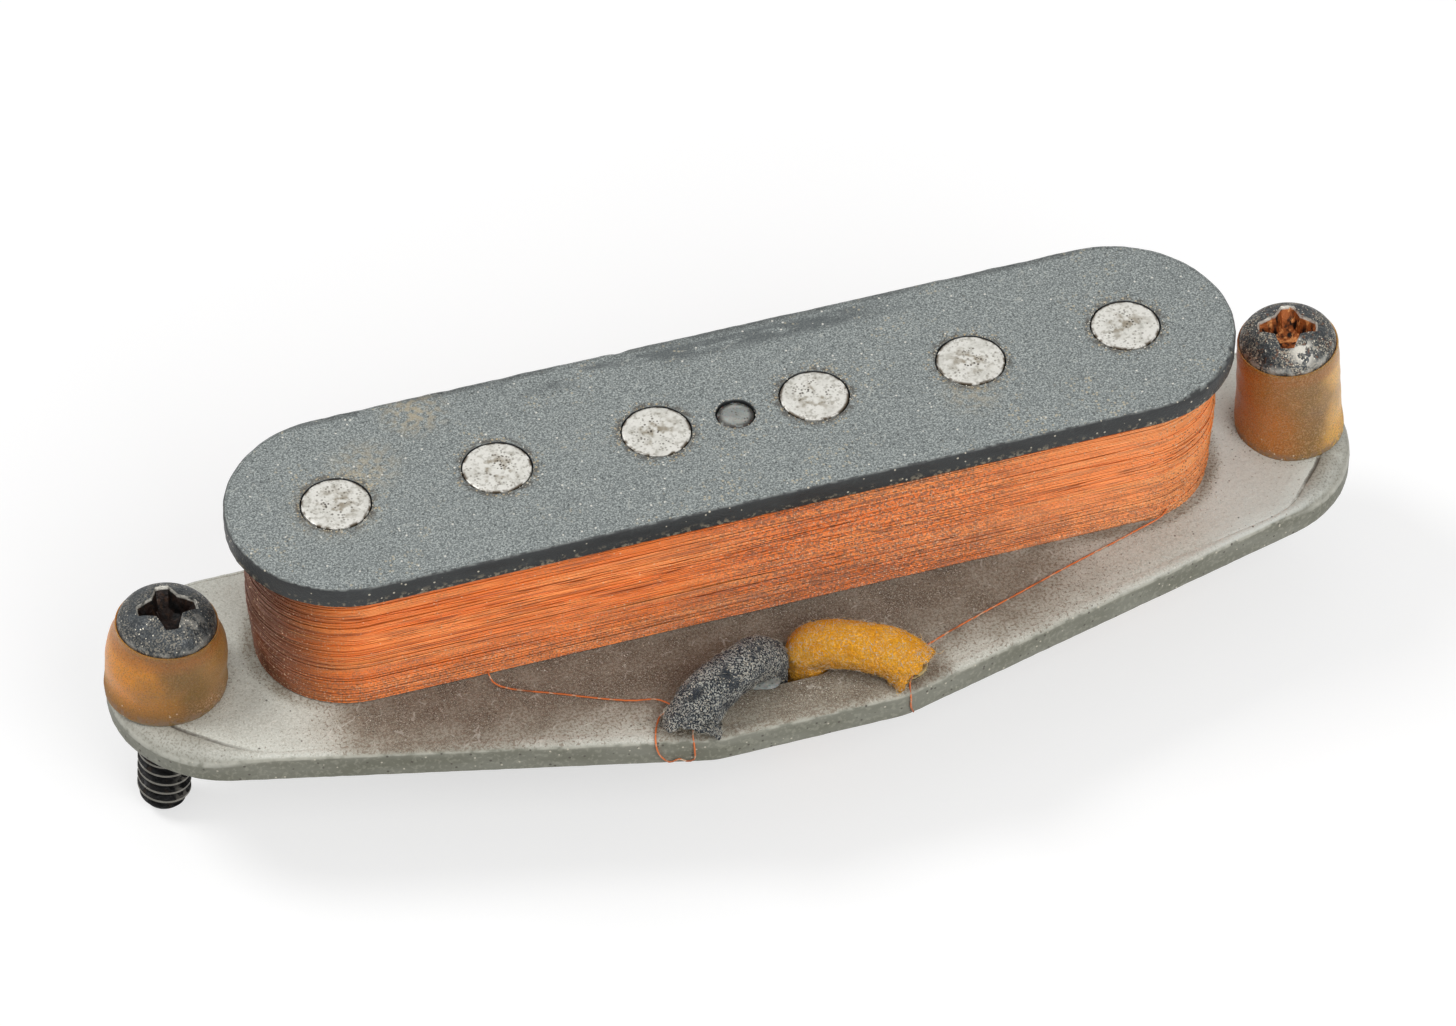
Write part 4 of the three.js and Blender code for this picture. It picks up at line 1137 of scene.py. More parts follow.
def nap_tree():
    """Cloth nap: short bent fibres that stand on a surface, but for what lies near the floor."""
    tree, given = new_tree("cloth_nap", {
        "Density": "Float", "Length": "Float", "Thickness": "Float", "Floor": "Float", "Seed": "Int",
        "Material": "Material",
    })
    place = add_node(tree, "GeometryNodeInputPosition")
    clear = add_node(tree, "FunctionNodeCompare", {
        0: add_node(tree, "ShaderNodeSeparateXYZ", {0: place}, out="Z"), 1: given["Floor"],
    }, operation="GREATER_THAN")
    spots = add_node(tree, "GeometryNodeDistributePointsOnFaces", {
        "Mesh": given["Geometry"], "Density": given["Density"], "Seed": given["Seed"],
        "Selection": clear,
    })
    middle, tip = [add_node(tree, "ShaderNodeVectorMath", {
        0: direction, "Scale": given["Length"],
    }, operation="SCALE") for direction in ((0.15, 0, 0.5), (1, 0, 0.3))]
    fibre = add_node(tree, "GeometryNodeCurveQuadraticBezier", {
        "Resolution": 3, "Start": (0, 0, 0), "Middle": middle, "End": tip,
    })
    thread = round_tube(fibre, given["Thickness"], 3)
    spin = add_node(tree, "FunctionNodeRandomValue", {
        0: (-0.5, -0.35, -math.pi), 1: (0.5, 0.6, math.pi), "Seed": given["Seed"],
    }, data_type="FLOAT_VECTOR")
    turn = add_node(tree, "FunctionNodeRotateRotation", {
        "Rotation": spots.node.outputs["Rotation"], "Rotate By": spin,
    }, rotation_space="LOCAL")
    size = add_node(tree, "FunctionNodeRandomValue", {2: 0.45, 3: 1.0, "Seed": given["Seed"]}, out=1)
    strewn = add_node(tree, "GeometryNodeInstanceOnPoints", {
        "Points": spots, "Instance": thread, "Rotation": turn, "Scale": size,
    })
    return closed_tree(strewn, given["Material"])


def crumb_tree():
    """A crumb of dust on each point."""
    tree, given = new_tree("dust_crumbs", {"Radius": "Float", "Seed": "Int", "Material": "Material"})
    crumb = add_node(tree, "GeometryNodeMeshIcoSphere", {"Radius": given["Radius"], "Subdivisions": 1})
    turn = add_node(tree, "FunctionNodeRandomValue", {
        0: (0, 0, 0), 1: (math.pi,) * 3, "Seed": given["Seed"],
    }, data_type="FLOAT_VECTOR")
    size = add_node(tree, "FunctionNodeRandomValue", {2: 0.35, 3: 1.0, "Seed": given["Seed"]}, out=1)
    strewn = add_node(tree, "GeometryNodeInstanceOnPoints", {
        "Points": add_node(tree, "GeometryNodeMeshToPoints", {"Mesh": given["Geometry"]}),
        "Instance": crumb, "Rotation": turn, "Scale": size,
    })
    return closed_tree(strewn, given["Material"])


# Pieces

def build_plates(sizes, colours):
    """The two fibre plates with their punched holes."""
    top_radius = (TOP_HIGH.y - TOP_LOW.y) / 2
    outline = resampled(stadium((0, ROW_Y), TOP_HIGH.x, top_radius, 0.3), 0.3)
    edge = sizes.top_edge / MM
    chips = [((28.6, ROW_Y - 6.9), 0.9, 0.45), ((30.6, ROW_Y - 5.5), 1.1, 0.5),
             ((32.1, ROW_Y - 3.9), 0.8, 0.5), ((-5.4, ROW_Y + 7.7), 0.45, 0.4)]

    def worn(point):
        chip = sum(depth * math.exp(-((point - Vector(spot)).length / reach) ** 2)
                   for spot, reach, depth in chips)
        chip *= 0.6 + 0.8 * abs(noise.noise(Vector((point.x, point.y, 3)) * 2.4))
        rub = edge * (1 + 0.35 * noise.noise(Vector((point.x, point.y, 0)) * 0.8))
        return rub + chip, rub + chip * 0.7

    holes = [(circle(spot, MAGNET_HOLE_RADIUS, 40), 0.09) for spot in MAGNET_SPOTS]
    holes.append((circle((0, ROW_Y), WAX_HOLE_RADIUS, 28), 0.12))
    shape = plate_shape(
        outline, holes, TOP_LOW.z, TOP_HIGH.z, even(0.2), worn,
        spacing=0.7, swell=0.02, ragged=0.035, seed=1,
    )
    plate = add_piece("top_fibre_plate", shape, black_fibre(colours))
    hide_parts("top_plate")

    reach, edge = sizes.worn_corner / MM, sizes.plate_edge / MM
    corner = Vector((PLATE_CORNER_X, -FRONT_REACH))
    centre = Vector((PLATE_HIGH.x - PLATE_END_RADIUS, PLATE_HIGH.y - ROW_Y - PLATE_END_RADIUS))
    span = centre - corner
    touch = math.atan2(span.y, span.x) - math.asin(PLATE_END_RADIUS / span.length) - math.pi / 2
    arc = [centre + Vector((math.cos(a), math.sin(a))) * PLATE_END_RADIUS
           for a in (lerp(touch, math.pi / 2, i / 60) for i in range(61))]
    half = [corner, *arc]
    loop = [*half, *(Vector((-p.x, p.y)) for p in reversed(half))]
    outline = resampled([p + Vector((0, ROW_Y)) for p in loop], 0.33)
    for _ in range(3):
        outline = [(before + point * 2 + after) / 4 for before, point, after
                   in zip([outline[-1], *outline], outline, [*outline[1:], outline[0]])]

    def corner_wear(point):
        bearing = math.atan2(point.y - ROW_Y - centre.y, abs(point.x) - centre.x)
        middle, spread = (-0.55, 0.7) if point.x > 0 else (-0.62, 0.75)
        return math.exp(-((bearing - middle) / spread) ** 4)

    def worn_top(point):
        wide = corner_wear(point)
        front = min(1, max(0, (ROW_Y - point.y - 8) / 3))
        soft = lerp(edge, 0.8, front)
        return lerp(soft, reach, wide), lerp(lerp(edge, 0.3, front), 0.85, wide)

    holes = [(circle(spot, MAGNET_HOLE_RADIUS, 32), 0.1) for spot in MAGNET_SPOTS]
    holes += [(circle((side * EYELET_X, EYELET_Y), 1.0, 24), 0.08) for side in (-1, 1)]
    holes += [(circle(spot, 2.0, 28), 0.15) for spot in SCREW_SPOTS]
    lead_hole = stadium((0, LEAD_HOLE_Y), LEAD_HOLE_X + LEAD_HOLE_RADIUS, LEAD_HOLE_RADIUS, 0.4)
    holes.append((lead_hole, 0.15))
    shape = plate_shape(
        outline, holes, PLATE_LOW.z, PLATE_HIGH.z, even(0.12), worn_top,
        spacing=1.1, swell=0.03, ragged=0.03, seed=2, wear=corner_wear,
    )
    plate = add_piece("bottom_fibre_plate", shape, grey_fibre(colours))
    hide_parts("bottom_plate")


def magnet_tree():
    """A row of rods: one on each point, turned about its axis by chance."""
    tree, given = new_tree("magnet_row", {"Rod": "Object", "Seed": "Int", "Material": "Material"})
    turn = add_node(tree, "FunctionNodeRandomValue", {
        0: (0, 0, 0), 1: (0, 0, 2 * math.pi), "Seed": given["Seed"],
    }, data_type="FLOAT_VECTOR")
    row = add_node(tree, "GeometryNodeInstanceOnPoints", {
        "Points": given["Geometry"], "Rotation": turn, "Instance": add_node(
            tree, "GeometryNodeObjectInfo", {"Object": given["Rod"]}, out="Geometry",
        ),
    })
    return closed_tree(row, given["Material"])


def build_magnets(sizes, colours):
    """Six rod magnets, set on the points of their row."""
    low, high = MAGNET_BOXES[0]
    radius, bevel = (high.x - low.x) / 2, sizes.magnet_bevel / MM
    inner, worn, material = radius - bevel, bevel * 0.3, magnet_metal(colours)
    profile = [*((inner * share, high.z) for share in (0, 0.2, 0.45, 0.7, 0.88, 1)),
               (radius - worn, high.z - worn), (radius, high.z - bevel), (radius, low.z + bevel),
               (radius - worn, low.z + worn), (inner, low.z), (0, low.z)]
    rod = add_piece("rod", turned_shape(profile, 48), material, body=None)
    reach = rod.data.attributes.new("from_axis", "FLOAT", "POINT")
    reach.data.foreach_set("value", [
        point.co.xy.length / (radius * MM) for point in rod.data.vertices
    ])
    magnets = grow_piece("rod_magnets", point_mesh(
        "magnet_spots", [(spot.x, spot.y, 0) for spot in MAGNET_SPOTS],
    ), magnet_tree(), {"Rod": rod, "Seed": 3, "Material": material}, sharp=30)
    bpy.data.objects.remove(rod)
    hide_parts(*MAGNETS)


def build_coil(sizes, colours):
    """The wound coil: an inner mass and an outer layer of fine turns."""
    material = coil_enamel(colours)
    wire, belly = sizes.wire / MM, sizes.coil_belly / MM
    low, high = PLATE_HIGH.z, TOP_LOW.z
    radius = COIL_HALF_WIDTH - belly - wire / 2
    loop = stadium((0, ROW_Y), COIL_HALF_LENGTH - belly - wire / 2, radius, 0.85)
    outward = outwards(loop)
    rings = []
    for i in range(13):
        share = i / 12
        inset = wire * 0.55 - belly * math.sin(math.pi * share)
        rings.append([Vector((*(point - normal * inset), lerp(low, high, share)))
                      for point, normal in zip(loop, outward)])
    body = add_piece("coil_body", Shape().add_rings(rings), material, sharp=60)
    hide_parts("coil_core")
    source = point_mesh("coil_loop", [(p.x, p.y, low + wire * 0.6) for p in loop],
                        outward=[(n.x, n.y, 0) for n in outward])
    winding = grow_piece("coil_winding", source, winding_tree(), {
        "Loop Points": len(loop), "Turns": sizes.turns, "Stray Turns": sizes.stray_turns,
        "Wire": sizes.wire, "Height": (high - low - wire * 1.2) * MM, "Belly": sizes.coil_belly,
        "Material": material,
    })
    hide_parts("coil_outer_turns")


def above_plate(x, y, lift=0.1):
    """A point over the bottom plate, from its place relative to the magnets' row."""
    return (x, ROW_Y + y, PLATE_HIGH.z + lift)


def by_front_edge(x, height, off=0.1):
    """A point beside the bottom plate's front edge, at a height over its underside."""
    slant = max(0, abs(x) - PLATE_CORNER_X) * FRONT_SLANT
    return (x, ROW_Y - FRONT_REACH + slant - off, PLATE_LOW.z + height)


def build_coil_wires(sizes, colours):
    """The two ends of the coil wire, from the coil to the eyelets and over the front edge."""
    material = loose_enamel(colours)
    routes = {
        "start": ((above_plate, (
            (-18.6, -6.6, 0.9), (-18.3, -7.3, 0.35), (-14.4, -9.3, 0.14), (-10.6, -11.1, 0.16),
            (-8.9, -11.8, 0.4), (-8.2, -12.9, 0.5), (-9.1, -13.0, 0.25), (-9.6, -13.7, 0.12),
            (-9.95, -14.6, 0.08),
        )), (by_front_edge, (
            (-10.0, 1.5), (-9.7, 0.7), (-9.2, 0.25), (-8.6, 0.5), (-8.2, 0.25), (-7.75, 0.35),
            (-7.7, 1.45),
        )), (above_plate, ((-7.6, -14.9, 0.14), (-7.2, -14.1, 0.35)))),
        "finish": ((above_plate, (
            (27.9, -5.5, 0.7), (27.0, -6.25, 0.4), (25.2, -6.75, 0.16), (19.9, -8.4, 0.12),
            (15.2, -10.0, 0.14), (12.1, -11.1, 0.2), (9.3, -12.3, 0.4), (8.3, -12.9, 0.5),
            (7.6, -14.1, 0.5), (6.8, -15.0, 0.14),
        )), (by_front_edge, ((6.6, 1.5), (6.6, 0.8), (6.8, 0.2)))),
    }
    for side, runs in routes.items():
        points = [place(*spot) for place, spots in runs for spot in spots]
        draw = random.Random(len(points))
        line = smooth_line(points, 0.25)
        line = [p + Vector([draw.uniform(-1, 1) * 0.01 for _ in range(3)]) for p in line]
        tube = tube_shape(line, sizes.loose_wire / MM / 2, 8)
        piece = add_piece(f"coil_{side}_lead", tube, material, sharp=180)
        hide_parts(f"coil_{side}_wire")


def build_terminals(sizes, colours):
    """Eyelets, solder joints and conductors under the leads' outer ends."""
    brass = soft_metal("tinned_brass", colours.brass, "#6f6248", 0.35)
    tin = soft_metal("tin_lead_solder", colours.solder, "#7d7a6f", 0.22)
    copper = soft_metal("tinned_copper_strand", "#bdb6a6", "#7a6a54", 0.35)
    bore, barrel, flange = 0.65, 0.95, 1.5
    low, high = PLATE_LOW.z - 0.25, PLATE_HIGH.z + 0.25
    for side, colour in ((-1, "black"), (1, "yellow")):
        centre = Matrix.Translation((side * EYELET_X, EYELET_Y, 0))
        profile = [(bore, low + 0.1), (bore + 0.12, low), (flange - 0.15, low), (flange, low + 0.1),
                   (flange - 0.05, PLATE_LOW.z), (barrel, PLATE_LOW.z), (barrel, PLATE_HIGH.z),
                   (flange - 0.05, PLATE_HIGH.z), (flange, high - 0.1), (flange - 0.15, high),
                   (bore + 0.12, high), (bore, high - 0.1)]
        eyelet = add_piece(f"{colour}_eyelet", turned_shape(profile, 40).moved(centre), brass, sharp=50)
        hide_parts(f"{colour}_lead_eyelet")
        dome = [(0, low + 0.05), *((flange * out, low - 0.02 - 1.05 * down) for out, down in (
            (0.99, 0), (0.98, 0.12), (0.9, 0.35), (0.78, 0.6), (0.58, 0.82), (0.3, 0.96), (0, 1),
        ))]

        def lumpy(angle, r, z, side=side):
            return r * (1 + 0.12 * noise.noise(turned(angle, 1.0, z * 0.6 + side * 7) * 1.1)), z

        bead = turned_shape(dome, 32, lumpy).moved(centre)
        joint = add_piece(f"{colour}_solder", bead, tin, sharp=60)
        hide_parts(f"{colour}_solder_joint")
        line = [Vector((side * EYELET_X, EYELET_Y, z)) for z in np.linspace(low, high + 0.1, 6)]
        core = add_piece(f"{colour}_core", tube_shape(line, 0.35, 16), copper, sharp=50)
        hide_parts(f"{colour}_conductor")
    return copper


def build_wax(sizes, colours):
    """Wax in the middle hole of the top plate, and a run of it beside the black lead."""
    material = wax_finish(colours)
    top = TOP_HIGH.z - 0.02
    profile = [(r, top - depth) for r, depth in (
        (0, 1.1), (1.2, 1.1), (1.22, 0.3), (1.14, 0.16), (0.85, 0.08), (0.5, 0.03), (0.2, 0), (0, 0),
    )]

    def uneven(angle, r, z):
        return r, z + (0.07 * noise.noise(turned(angle, r, 4) * 2.2) if z > top - 0.5 else 0)

    plug = turned_shape(profile, 36, uneven).moved(Matrix.Translation((0, ROW_Y, 0)))
    run = turned_shape([(0, 0.02), (0.9, 0.02), (0.96, 0.1), (0.8, 0.2), (0.45, 0.26), (0, 0.28)], 28,
                       lambda angle, r, z: (r * (1 + 0.25 * math.cos(2 * angle + 0.6)), z))
    run.moved(Matrix.Translation(above_plate(-2.1, -12.0, 0)))
    for name, shape in (("wax_fill", plug), ("wax_run", run)):
        piece = add_piece(name, shape, material, sharp=60)
        if shape is plug:
            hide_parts("wax_plug")


def cloth_materials(colours):
    return {
        "black": cloth("black_waxed_cotton", colours.black_cloth, "#111317", "#565c62", "#cfcfc6",
                       "#4b4640", 0.85),
        "yellow": cloth("yellow_waxed_cotton", colours.yellow_cloth, "#dc8a0c", "#fbb928", "#f3dcaa",
                        "#9a581c", 0.35),
    }


# Leads: the gap kept to a plate or the table, the hank's middle, and how its leads rise at the tie
LEAD_CLEARANCE = 0.05
HANK_X, HANK_Y = 4, ROW_Y + 8.9
TIE_X, TIE_REACH, TIE_LIFT = 3.25, 9, 0.65
LEADS = {
    "black": {
        "arch": -1, "free": 1, "fibre": "#6f6f6b", "torn": 0.5,
        "route": [(0, 0, 0), (0, 0.6, 0), (0.1, 1.25, 0.05), (0.32, 1.7, 0.2), (0.6, 1.8, 0.35),
                  (0.86, 1.55, 0.45), (1.06, 0.8, 0.75), (1.12, 0.2, 1.15)],
        "radii": [1.35, 1.4, 1.45, 1.48, 1.6, 1.9],
    },
    "yellow": {
        "arch": 1, "free": -1, "fibre": "#e6b95c", "torn": 0.16,
        "route": [(0, 0, 0), (0, 0.55, 0), (0.1, 1.25, 0.1), (0.32, 1.7, 0.3), (0.56, 1.8, 0.5),
                  (0.8, 1.6, 0.65), (0.98, 1.15, 0.95), (1.06, 0.75, 1.3)],
        "radii": [1.48, 1.52, 1.55, 1.55, 1.6, 1.75],
    },
}


def arch_line(colour, step):
    """A lead's arch: up out of its hole, over the plate in a bow, and down on its eyelet."""
    side = LEADS[colour]["arch"]
    points = [(side * LEAD_HOLE_X, LEAD_HOLE_Y, PLATE_LOW.z)]
    for along, height, bow in LEADS[colour]["route"]:
        points.append((side * lerp(LEAD_HOLE_X, EYELET_X, along),
                       lerp(LEAD_HOLE_Y, EYELET_Y, along) - bow, PLATE_HIGH.z + height))
    return smooth_line(points, step)


def on_plate(point):
    """A point of cloth, held above the bottom plate unless it lies in the leads' hole."""
    off = math.hypot(max(0, abs(point.x) - LEAD_HOLE_X), point.y - LEAD_HOLE_Y)
    lowest = PLATE_HIGH.z + LEAD_CLEARANCE
    if off > LEAD_HOLE_RADIUS - 0.06 and point.z < lowest:
        return Vector((point.x, point.y, lowest))
    return point


def build_arches(sizes, colours, materials, nap):
    """The leads' arches over the bottom plate, felted, with torn outer ends."""
    sides = 60
    for colour, facts in LEADS.items():
        side, radii, rough = facts["arch"], facts["radii"], facts["torn"]
        line = arch_line(colour, 0.11)
        total = line_length(line)

        def felted(length, angle, total=total, side=side, radii=radii, rough=rough):
            spot = turned(angle, 1.2, length)
            lump = 0.1 * noise.noise(spot * 0.9 + Vector((side * 9, 0, 0)))
            lump += 0.055 * noise.noise(spot * 2.9) + 0.04 * noise.noise(spot * 6.5)
            last = max(0.0, (length - total + 2.2) / 2.2)
            wide = np.interp(length / total, np.linspace(0, 1, len(radii)), radii)
            return float(wide) + lump + rough * last * noise.noise(spot * 1.7)

        rings, heights = tube_rings(line, 0.0, sides, felted)
        ahead = (line[-1] - line[-3]).normalized()
        for k, angle in enumerate(angles(sides)):
            torn = 0.5 * noise.noise(turned(angle, 1.0, side * 5) * 2.1)
            torn += 0.35 * noise.noise(turned(angle, 1.0, side * 3) * 5.5)
            for back in range(10):
                rings[-1 - back][k] += ahead * torn * (1 - back / 10)
        middle, lip = line[-1], rings[-1]
        for shrink, back in ((0.9, 0.0), (0.76, 0.25), (0.62, 0.6), (0.4, 0.85), (0.15, 0.95)):
            rings.append([middle + (point - middle) * shrink - ahead * back for point in lip])
            heights.append(heights[-1] + 0.1)
        rings = [[on_plate(point) for point in ring] for ring in rings]
        arch = add_piece(
            f"{colour}_arch", Shape().add_rings(rings, heights), materials[colour], sharp=180,
        )
        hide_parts(f"{colour}_lead_arch")
        fibre = loose_fibre(f"{colour}_cotton_fibre", facts["fibre"])
        end = add_piece("torn_end", Shape().add_rings(rings[-16:-3]), fibre, body=None)
        for name, source, density, length, seed in (
            ("nap", arch, 14.0, 0.75, 5), ("fray", end, 8.0, 1.5, 8),
        ):
            fuzz = grow_piece(f"{colour}_arch_{name}", source.data.copy(), nap, {
                "Density": density / MM ** 2, "Length": sizes.nap * length, "Thickness": 0.012 * MM,
                "Floor": PLATE_HIGH.z * MM, "Seed": seed + side, "Material": fibre,
            })
        bpy.data.objects.remove(end)


def tie_lift(x):
    """How far a lead is lifted by the tie at this place in the hank."""
    away = min(1, abs(x - TIE_X) / TIE_REACH)
    return TIE_LIFT * (1 + math.cos(math.pi * away)) / 2


def hank_line():
    """The middle of the paired leads in the hank, and its passes."""
    half, fold, step = 20, 8.95, 6.2

    def ease(x):
        return (1 - math.cos(math.pi * abs(x) / half)) / 2

    def bend(x, start, way):
        """Half a turn round one end of the hank."""
        spots = [turned(math.pi * (start + way * i / 12), fold) for i in range(1, 12)]
        return [(x + spot.x, spot.y) for spot in spots]

    out = [i / 7 for i in range(8)]
    line = [(x, -step - (fold - step) * ease(x)) for x in (lerp(2.45, half, share) for share in out)]
    line += bend(half, -0.5, 1)
    line += [(x, math.copysign(fold * ease(x), x) if x else 0)
             for x in (half * (1 - i / 7) for i in range(15))]
    line += bend(-half, 1.5, -1)
    line += [(x, step + (fold - step) * ease(x)) for x in (-half * (1 - share) for share in out)]
    line += [(x, step + fold * 1.2 * ease(x)) for x in (2.5, 5.0)]
    return [Vector(point) for point in line]


def hank_points(side, diameter, step_aside):
    """One lead's points in the hank, and the direction that it ends in."""
    line, points = hank_line(), []
    runs = runs_of(line)
    runs[0].y = 0
    for spot, run in zip(line, runs):
        ahead = run.normalized()
        left = Vector((-ahead.y, ahead.x)) * side * step_aside / 2
        points.append(Vector((HANK_X + spot.x + left.x, HANK_Y + spot.y + left.y,
                              diameter / 2 + LEAD_CLEARANCE + tie_lift(spot.x))))
    return points, ahead


def free_lead_points(side, diameter, step_aside, bend):
    """One lead from its hole: down in two bends with a slope between them, and round to the hank."""
    hank, ahead = hank_points(side, diameter, step_aside)
    x, floor, start = -side * LEAD_HOLE_X, diameter / 2 + LEAD_CLEARANCE, hank[0]
    radius = start.x - x
    landing = start.y - radius
    slope = math.atan2(PLATE_LOW.z - floor - bend, landing - LEAD_HOLE_Y - bend)
    upper = [share * (math.pi / 2 - slope) for share in (1 / 3, 2 / 3, 1)]
    lower = [share * slope for share in (1, 2 / 3, 1 / 3)]
    return [
        (x, LEAD_HOLE_Y, PLATE_LOW.z),
        *((x, LEAD_HOLE_Y + bend * (1 - math.cos(a)), PLATE_LOW.z - bend * math.sin(a))
          for a in upper),
        *((x, landing - bend * math.sin(a), floor + bend * (1 - math.cos(a))) for a in lower),
        *((start.x - radius * math.cos(share * math.pi / 2),
           landing + radius * math.sin(share * math.pi / 2),
           lerp(floor, start.z, share)) for share in (0, 0.25, 0.5, 0.75)),
        *hank,
    ], ahead


def build_free_leads(sizes, colours, materials, nap, copper):
    """The leads under the plate, folded in a hank with a tie, with their stripped ends."""
    diameters = {colour: getattr(sizes, f"{colour}_lead") / MM for colour in LEADS}
    step_aside = sum(diameters.values()) / 2 + 0.3
    tie = tie_piece(sizes, colours)

    def felted(along, angle):
        spot = turned(angle, 1.2, along)
        return 0.05 * noise.noise(spot * 0.8) + 0.03 * noise.noise(spot * 2.7) - 0.05

    for colour, diameter in diameters.items():
        side = LEADS[colour]["free"]
        points, ahead = free_lead_points(side, diameter, step_aside, sizes.tail_bend / MM)
        line = smooth_line(points, 0.42)
        lead = add_piece(f"{colour}_free_lead", tube_shape(line, diameter / 2, 26, felted),
                         materials[colour], sharp=180)
        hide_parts(f"{colour}_lead_tail", f"{colour}_lead_hank")
        fuzz = grow_piece(f"{colour}_free_nap", lead.data.copy(), nap, {
            "Density": 1.6 / MM ** 2, "Length": sizes.nap, "Thickness": 0.014 * MM,
            "Floor": 0.6 * MM, "Seed": 11 + side,
            "Material": bpy.data.materials[f"{colour}_cotton_fibre"],
        })
        tip = strand_tip(colour, line[-1], ahead, copper)


def strand_tip(colour, start, ahead, copper):
    """The stripped end of a lead: seven tinned strands, twisted."""
    shape, radius, stripped = Shape(), 0.115, 6.2
    ahead = Vector((ahead.x, ahead.y, 0))
    across, up = Vector((-ahead.y, ahead.x, 0)), Vector((0, 0, 1))
    for strand in range(7):
        line, reach = [], 0 if strand == 6 else radius * 2
        for i in range(25):
            out = lerp(-0.4, stripped, i / 24)
            angle = out * 1.3 + strand * math.pi / 3
            twist = across * math.cos(angle) + up * math.sin(angle)
            line.append(start + ahead * out + twist * reach)
        part = tube_shape(line, radius, 8)
        shape.add(part.points, part.faces, part.uvs)
    tip = add_piece(f"{colour}_strands", shape, copper, sharp=60)
    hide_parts(f"{colour}_lead_tip")
    return tip


def tie_piece(sizes, colours):
    """A band of cotton tape round the passes of the hank."""
    low, high = node_box("lead_tie")
    width, thick = sizes.tape / MM, 0.34
    centre = (low + high) / 2
    half, radius = (high.y - low.y) / 2, (high.z - low.z) / 2
    outer = stadium((centre.y, centre.z), half, radius, 0.5)
    rings = []
    for point, normal in zip(outer, outwards(outer)):
        shift = 0.12 * noise.noise(Vector((point.x, point.y, 0)) * 0.5)
        ring = []
        for angle in angles(12):
            across = math.copysign(abs(math.cos(angle)) ** 0.5, math.cos(angle)) * width / 2
            out = math.copysign(abs(math.sin(angle)) ** 0.6, math.sin(angle)) * thick / 2
            spot = point - normal * (thick / 2 + 0.02 - out)
            ring.append(Vector((centre.x + across + shift, spot.x, spot.y)))
        rings.append(ring)
    shape = Shape().add_rings(rings, looped=True)
    for way in (-1, 1):
        knot = [(centre.x + way * 0.2, centre.y + 1.4 * way * 0.3, high.z - 0.1),
                (centre.x + way * 0.9, centre.y + way * 1.3, high.z + 0.12),
                (centre.x + way * 1.8, centre.y + way * 2.7, high.z - 0.25),
                (centre.x + way * 2.4, centre.y + way * 3.9, high.z - 0.9)]
        part = tube_shape(smooth_line(knot, 0.3), 0.28, 10)
        shape.add(part.points, part.faces, part.uvs)
    tie = add_piece("tape_tie", shape, cloth(
        "cotton_tape", colours.tape, "#a89d84", "#efe9d9", "#8d8168", "#7d735f", 0.6,
    ), sharp=60)
    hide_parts("lead_tie")
    return tie


# Screws and tubes

HEAD_RADIUS = 3.15
HEAD_RIM = 0.35
HEAD_CROWN = 1.75
RECESS_SPAN = 4.4
RECESS_WING = 1.3
SCREWS = {
    "left": {
        "lean": SCREW_LEAN, "head": 5.9144, "turn": -0.07,
        "rust": 0.03, "wear": 0.25, "patch": (1.3, -1.5),
        "radii": [3.84, 3.95, 3.86, 3.88, 3.86, 3.7, 3.42, 3.2],
        "centre": -37.85, "height": 4.9, "dust_height": 2.4, "dust": 0.2, "low": 0.85,
        # left, middle and right: painted light and shade on the tube, bright on its lit left side and
        # shaded in the middle.
        "left": "#f09a26", "middle": "#7f5f2b", "right": "#a87c46",
    },
    "right": {
        "lean": -SCREW_LEAN, "head": 8.22, "turn": -0.36,
        "rust": 0.95, "wear": 0.9, "patch": (1.0, -2.05),
        "radii": [3.55, 3.62, 3.5, 3.4, 3.38, 3.36, 3.34, 3.26],
        "centre": 37.75, "height": 7.2, "dust_height": 3.0, "dust": 0.55, "low": 0.25,
        # left, middle and right: painted light and shade on the tube, shaded on its left by the coil
        # and bright on its lit right side.
        "left": "#c87526", "middle": "#8c6834", "right": "#ffc468",
    },
}


def screw_stand(side):
    """Where a screw's own axis stands: Z runs up the screw from the middle of the plate."""
    joint = JOINTS[f"{side}_screw_turn"]
    return Matrix.Translation(Vector(joint["pos_m"]) / MM) @ Matrix.Rotation(
        math.radians(SCREWS[side]["lean"]), 4, "Y")


def thread_tree():
    """A thread's ridge that climbs a shank, with its ends run out."""
    tree, given = new_tree("screw_thread", {
        "Pitch": "Float", "Turns": "Float", "Root": "Float", "Depth": "Float", "Start": "Float",
        "Material": "Material",
    })
    helix = add_node(tree, "GeometryNodeCurveSpiral", {
        "Resolution": 40, "Rotations": given["Turns"], "Start Radius": given["Root"],
        "End Radius": given["Root"], "Height": both(given["Pitch"], given["Turns"]),
    })
    helix = add_node(tree, "GeometryNodeTransform", {
        "Geometry": helix, "Translation": add_node(tree, "ShaderNodeCombineXYZ", {"Z": given["Start"]}),
    })
    helix = add_node(tree, "GeometryNodeSetCurveNormal", {"Curve": helix}, mode="Z_UP")
    share = add_node(tree, "GeometryNodeSplineParameter")
    fade = [add_node(tree, "ShaderNodeMapRange", {0: share, 1: zero, 2: one})
            for zero, one in ((0, 0.05), (1, 0.96))]
    fade = add_node(tree, "ShaderNodeMath", {0: fade[0], 1: fade[1]}, operation="MINIMUM")
    fade = add_node(tree, "ShaderNodeMapRange", {0: fade, 3: 0.15, 4: 1.0})
    corners = enumerate(((0.3, 0.46), (-1.0, 0.09), (-1.0, -0.09), (0.3, -0.46)), 1)
    section = add_node(tree, "GeometryNodeCurvePrimitiveQuadrilateral", {
        f"Point {number}": add_node(tree, "ShaderNodeCombineXYZ", {
            "X": both(given["Depth"], out), "Y": both(given["Pitch"], up),
        }) for number, (out, up) in corners
    }, mode="POINTS")
    ridge = add_node(tree, "GeometryNodeCurveToMesh", {
        "Curve": helix, "Profile Curve": section, "Scale": fade, "Fill Caps": True,
    })
    return closed_tree(ridge, given["Material"])


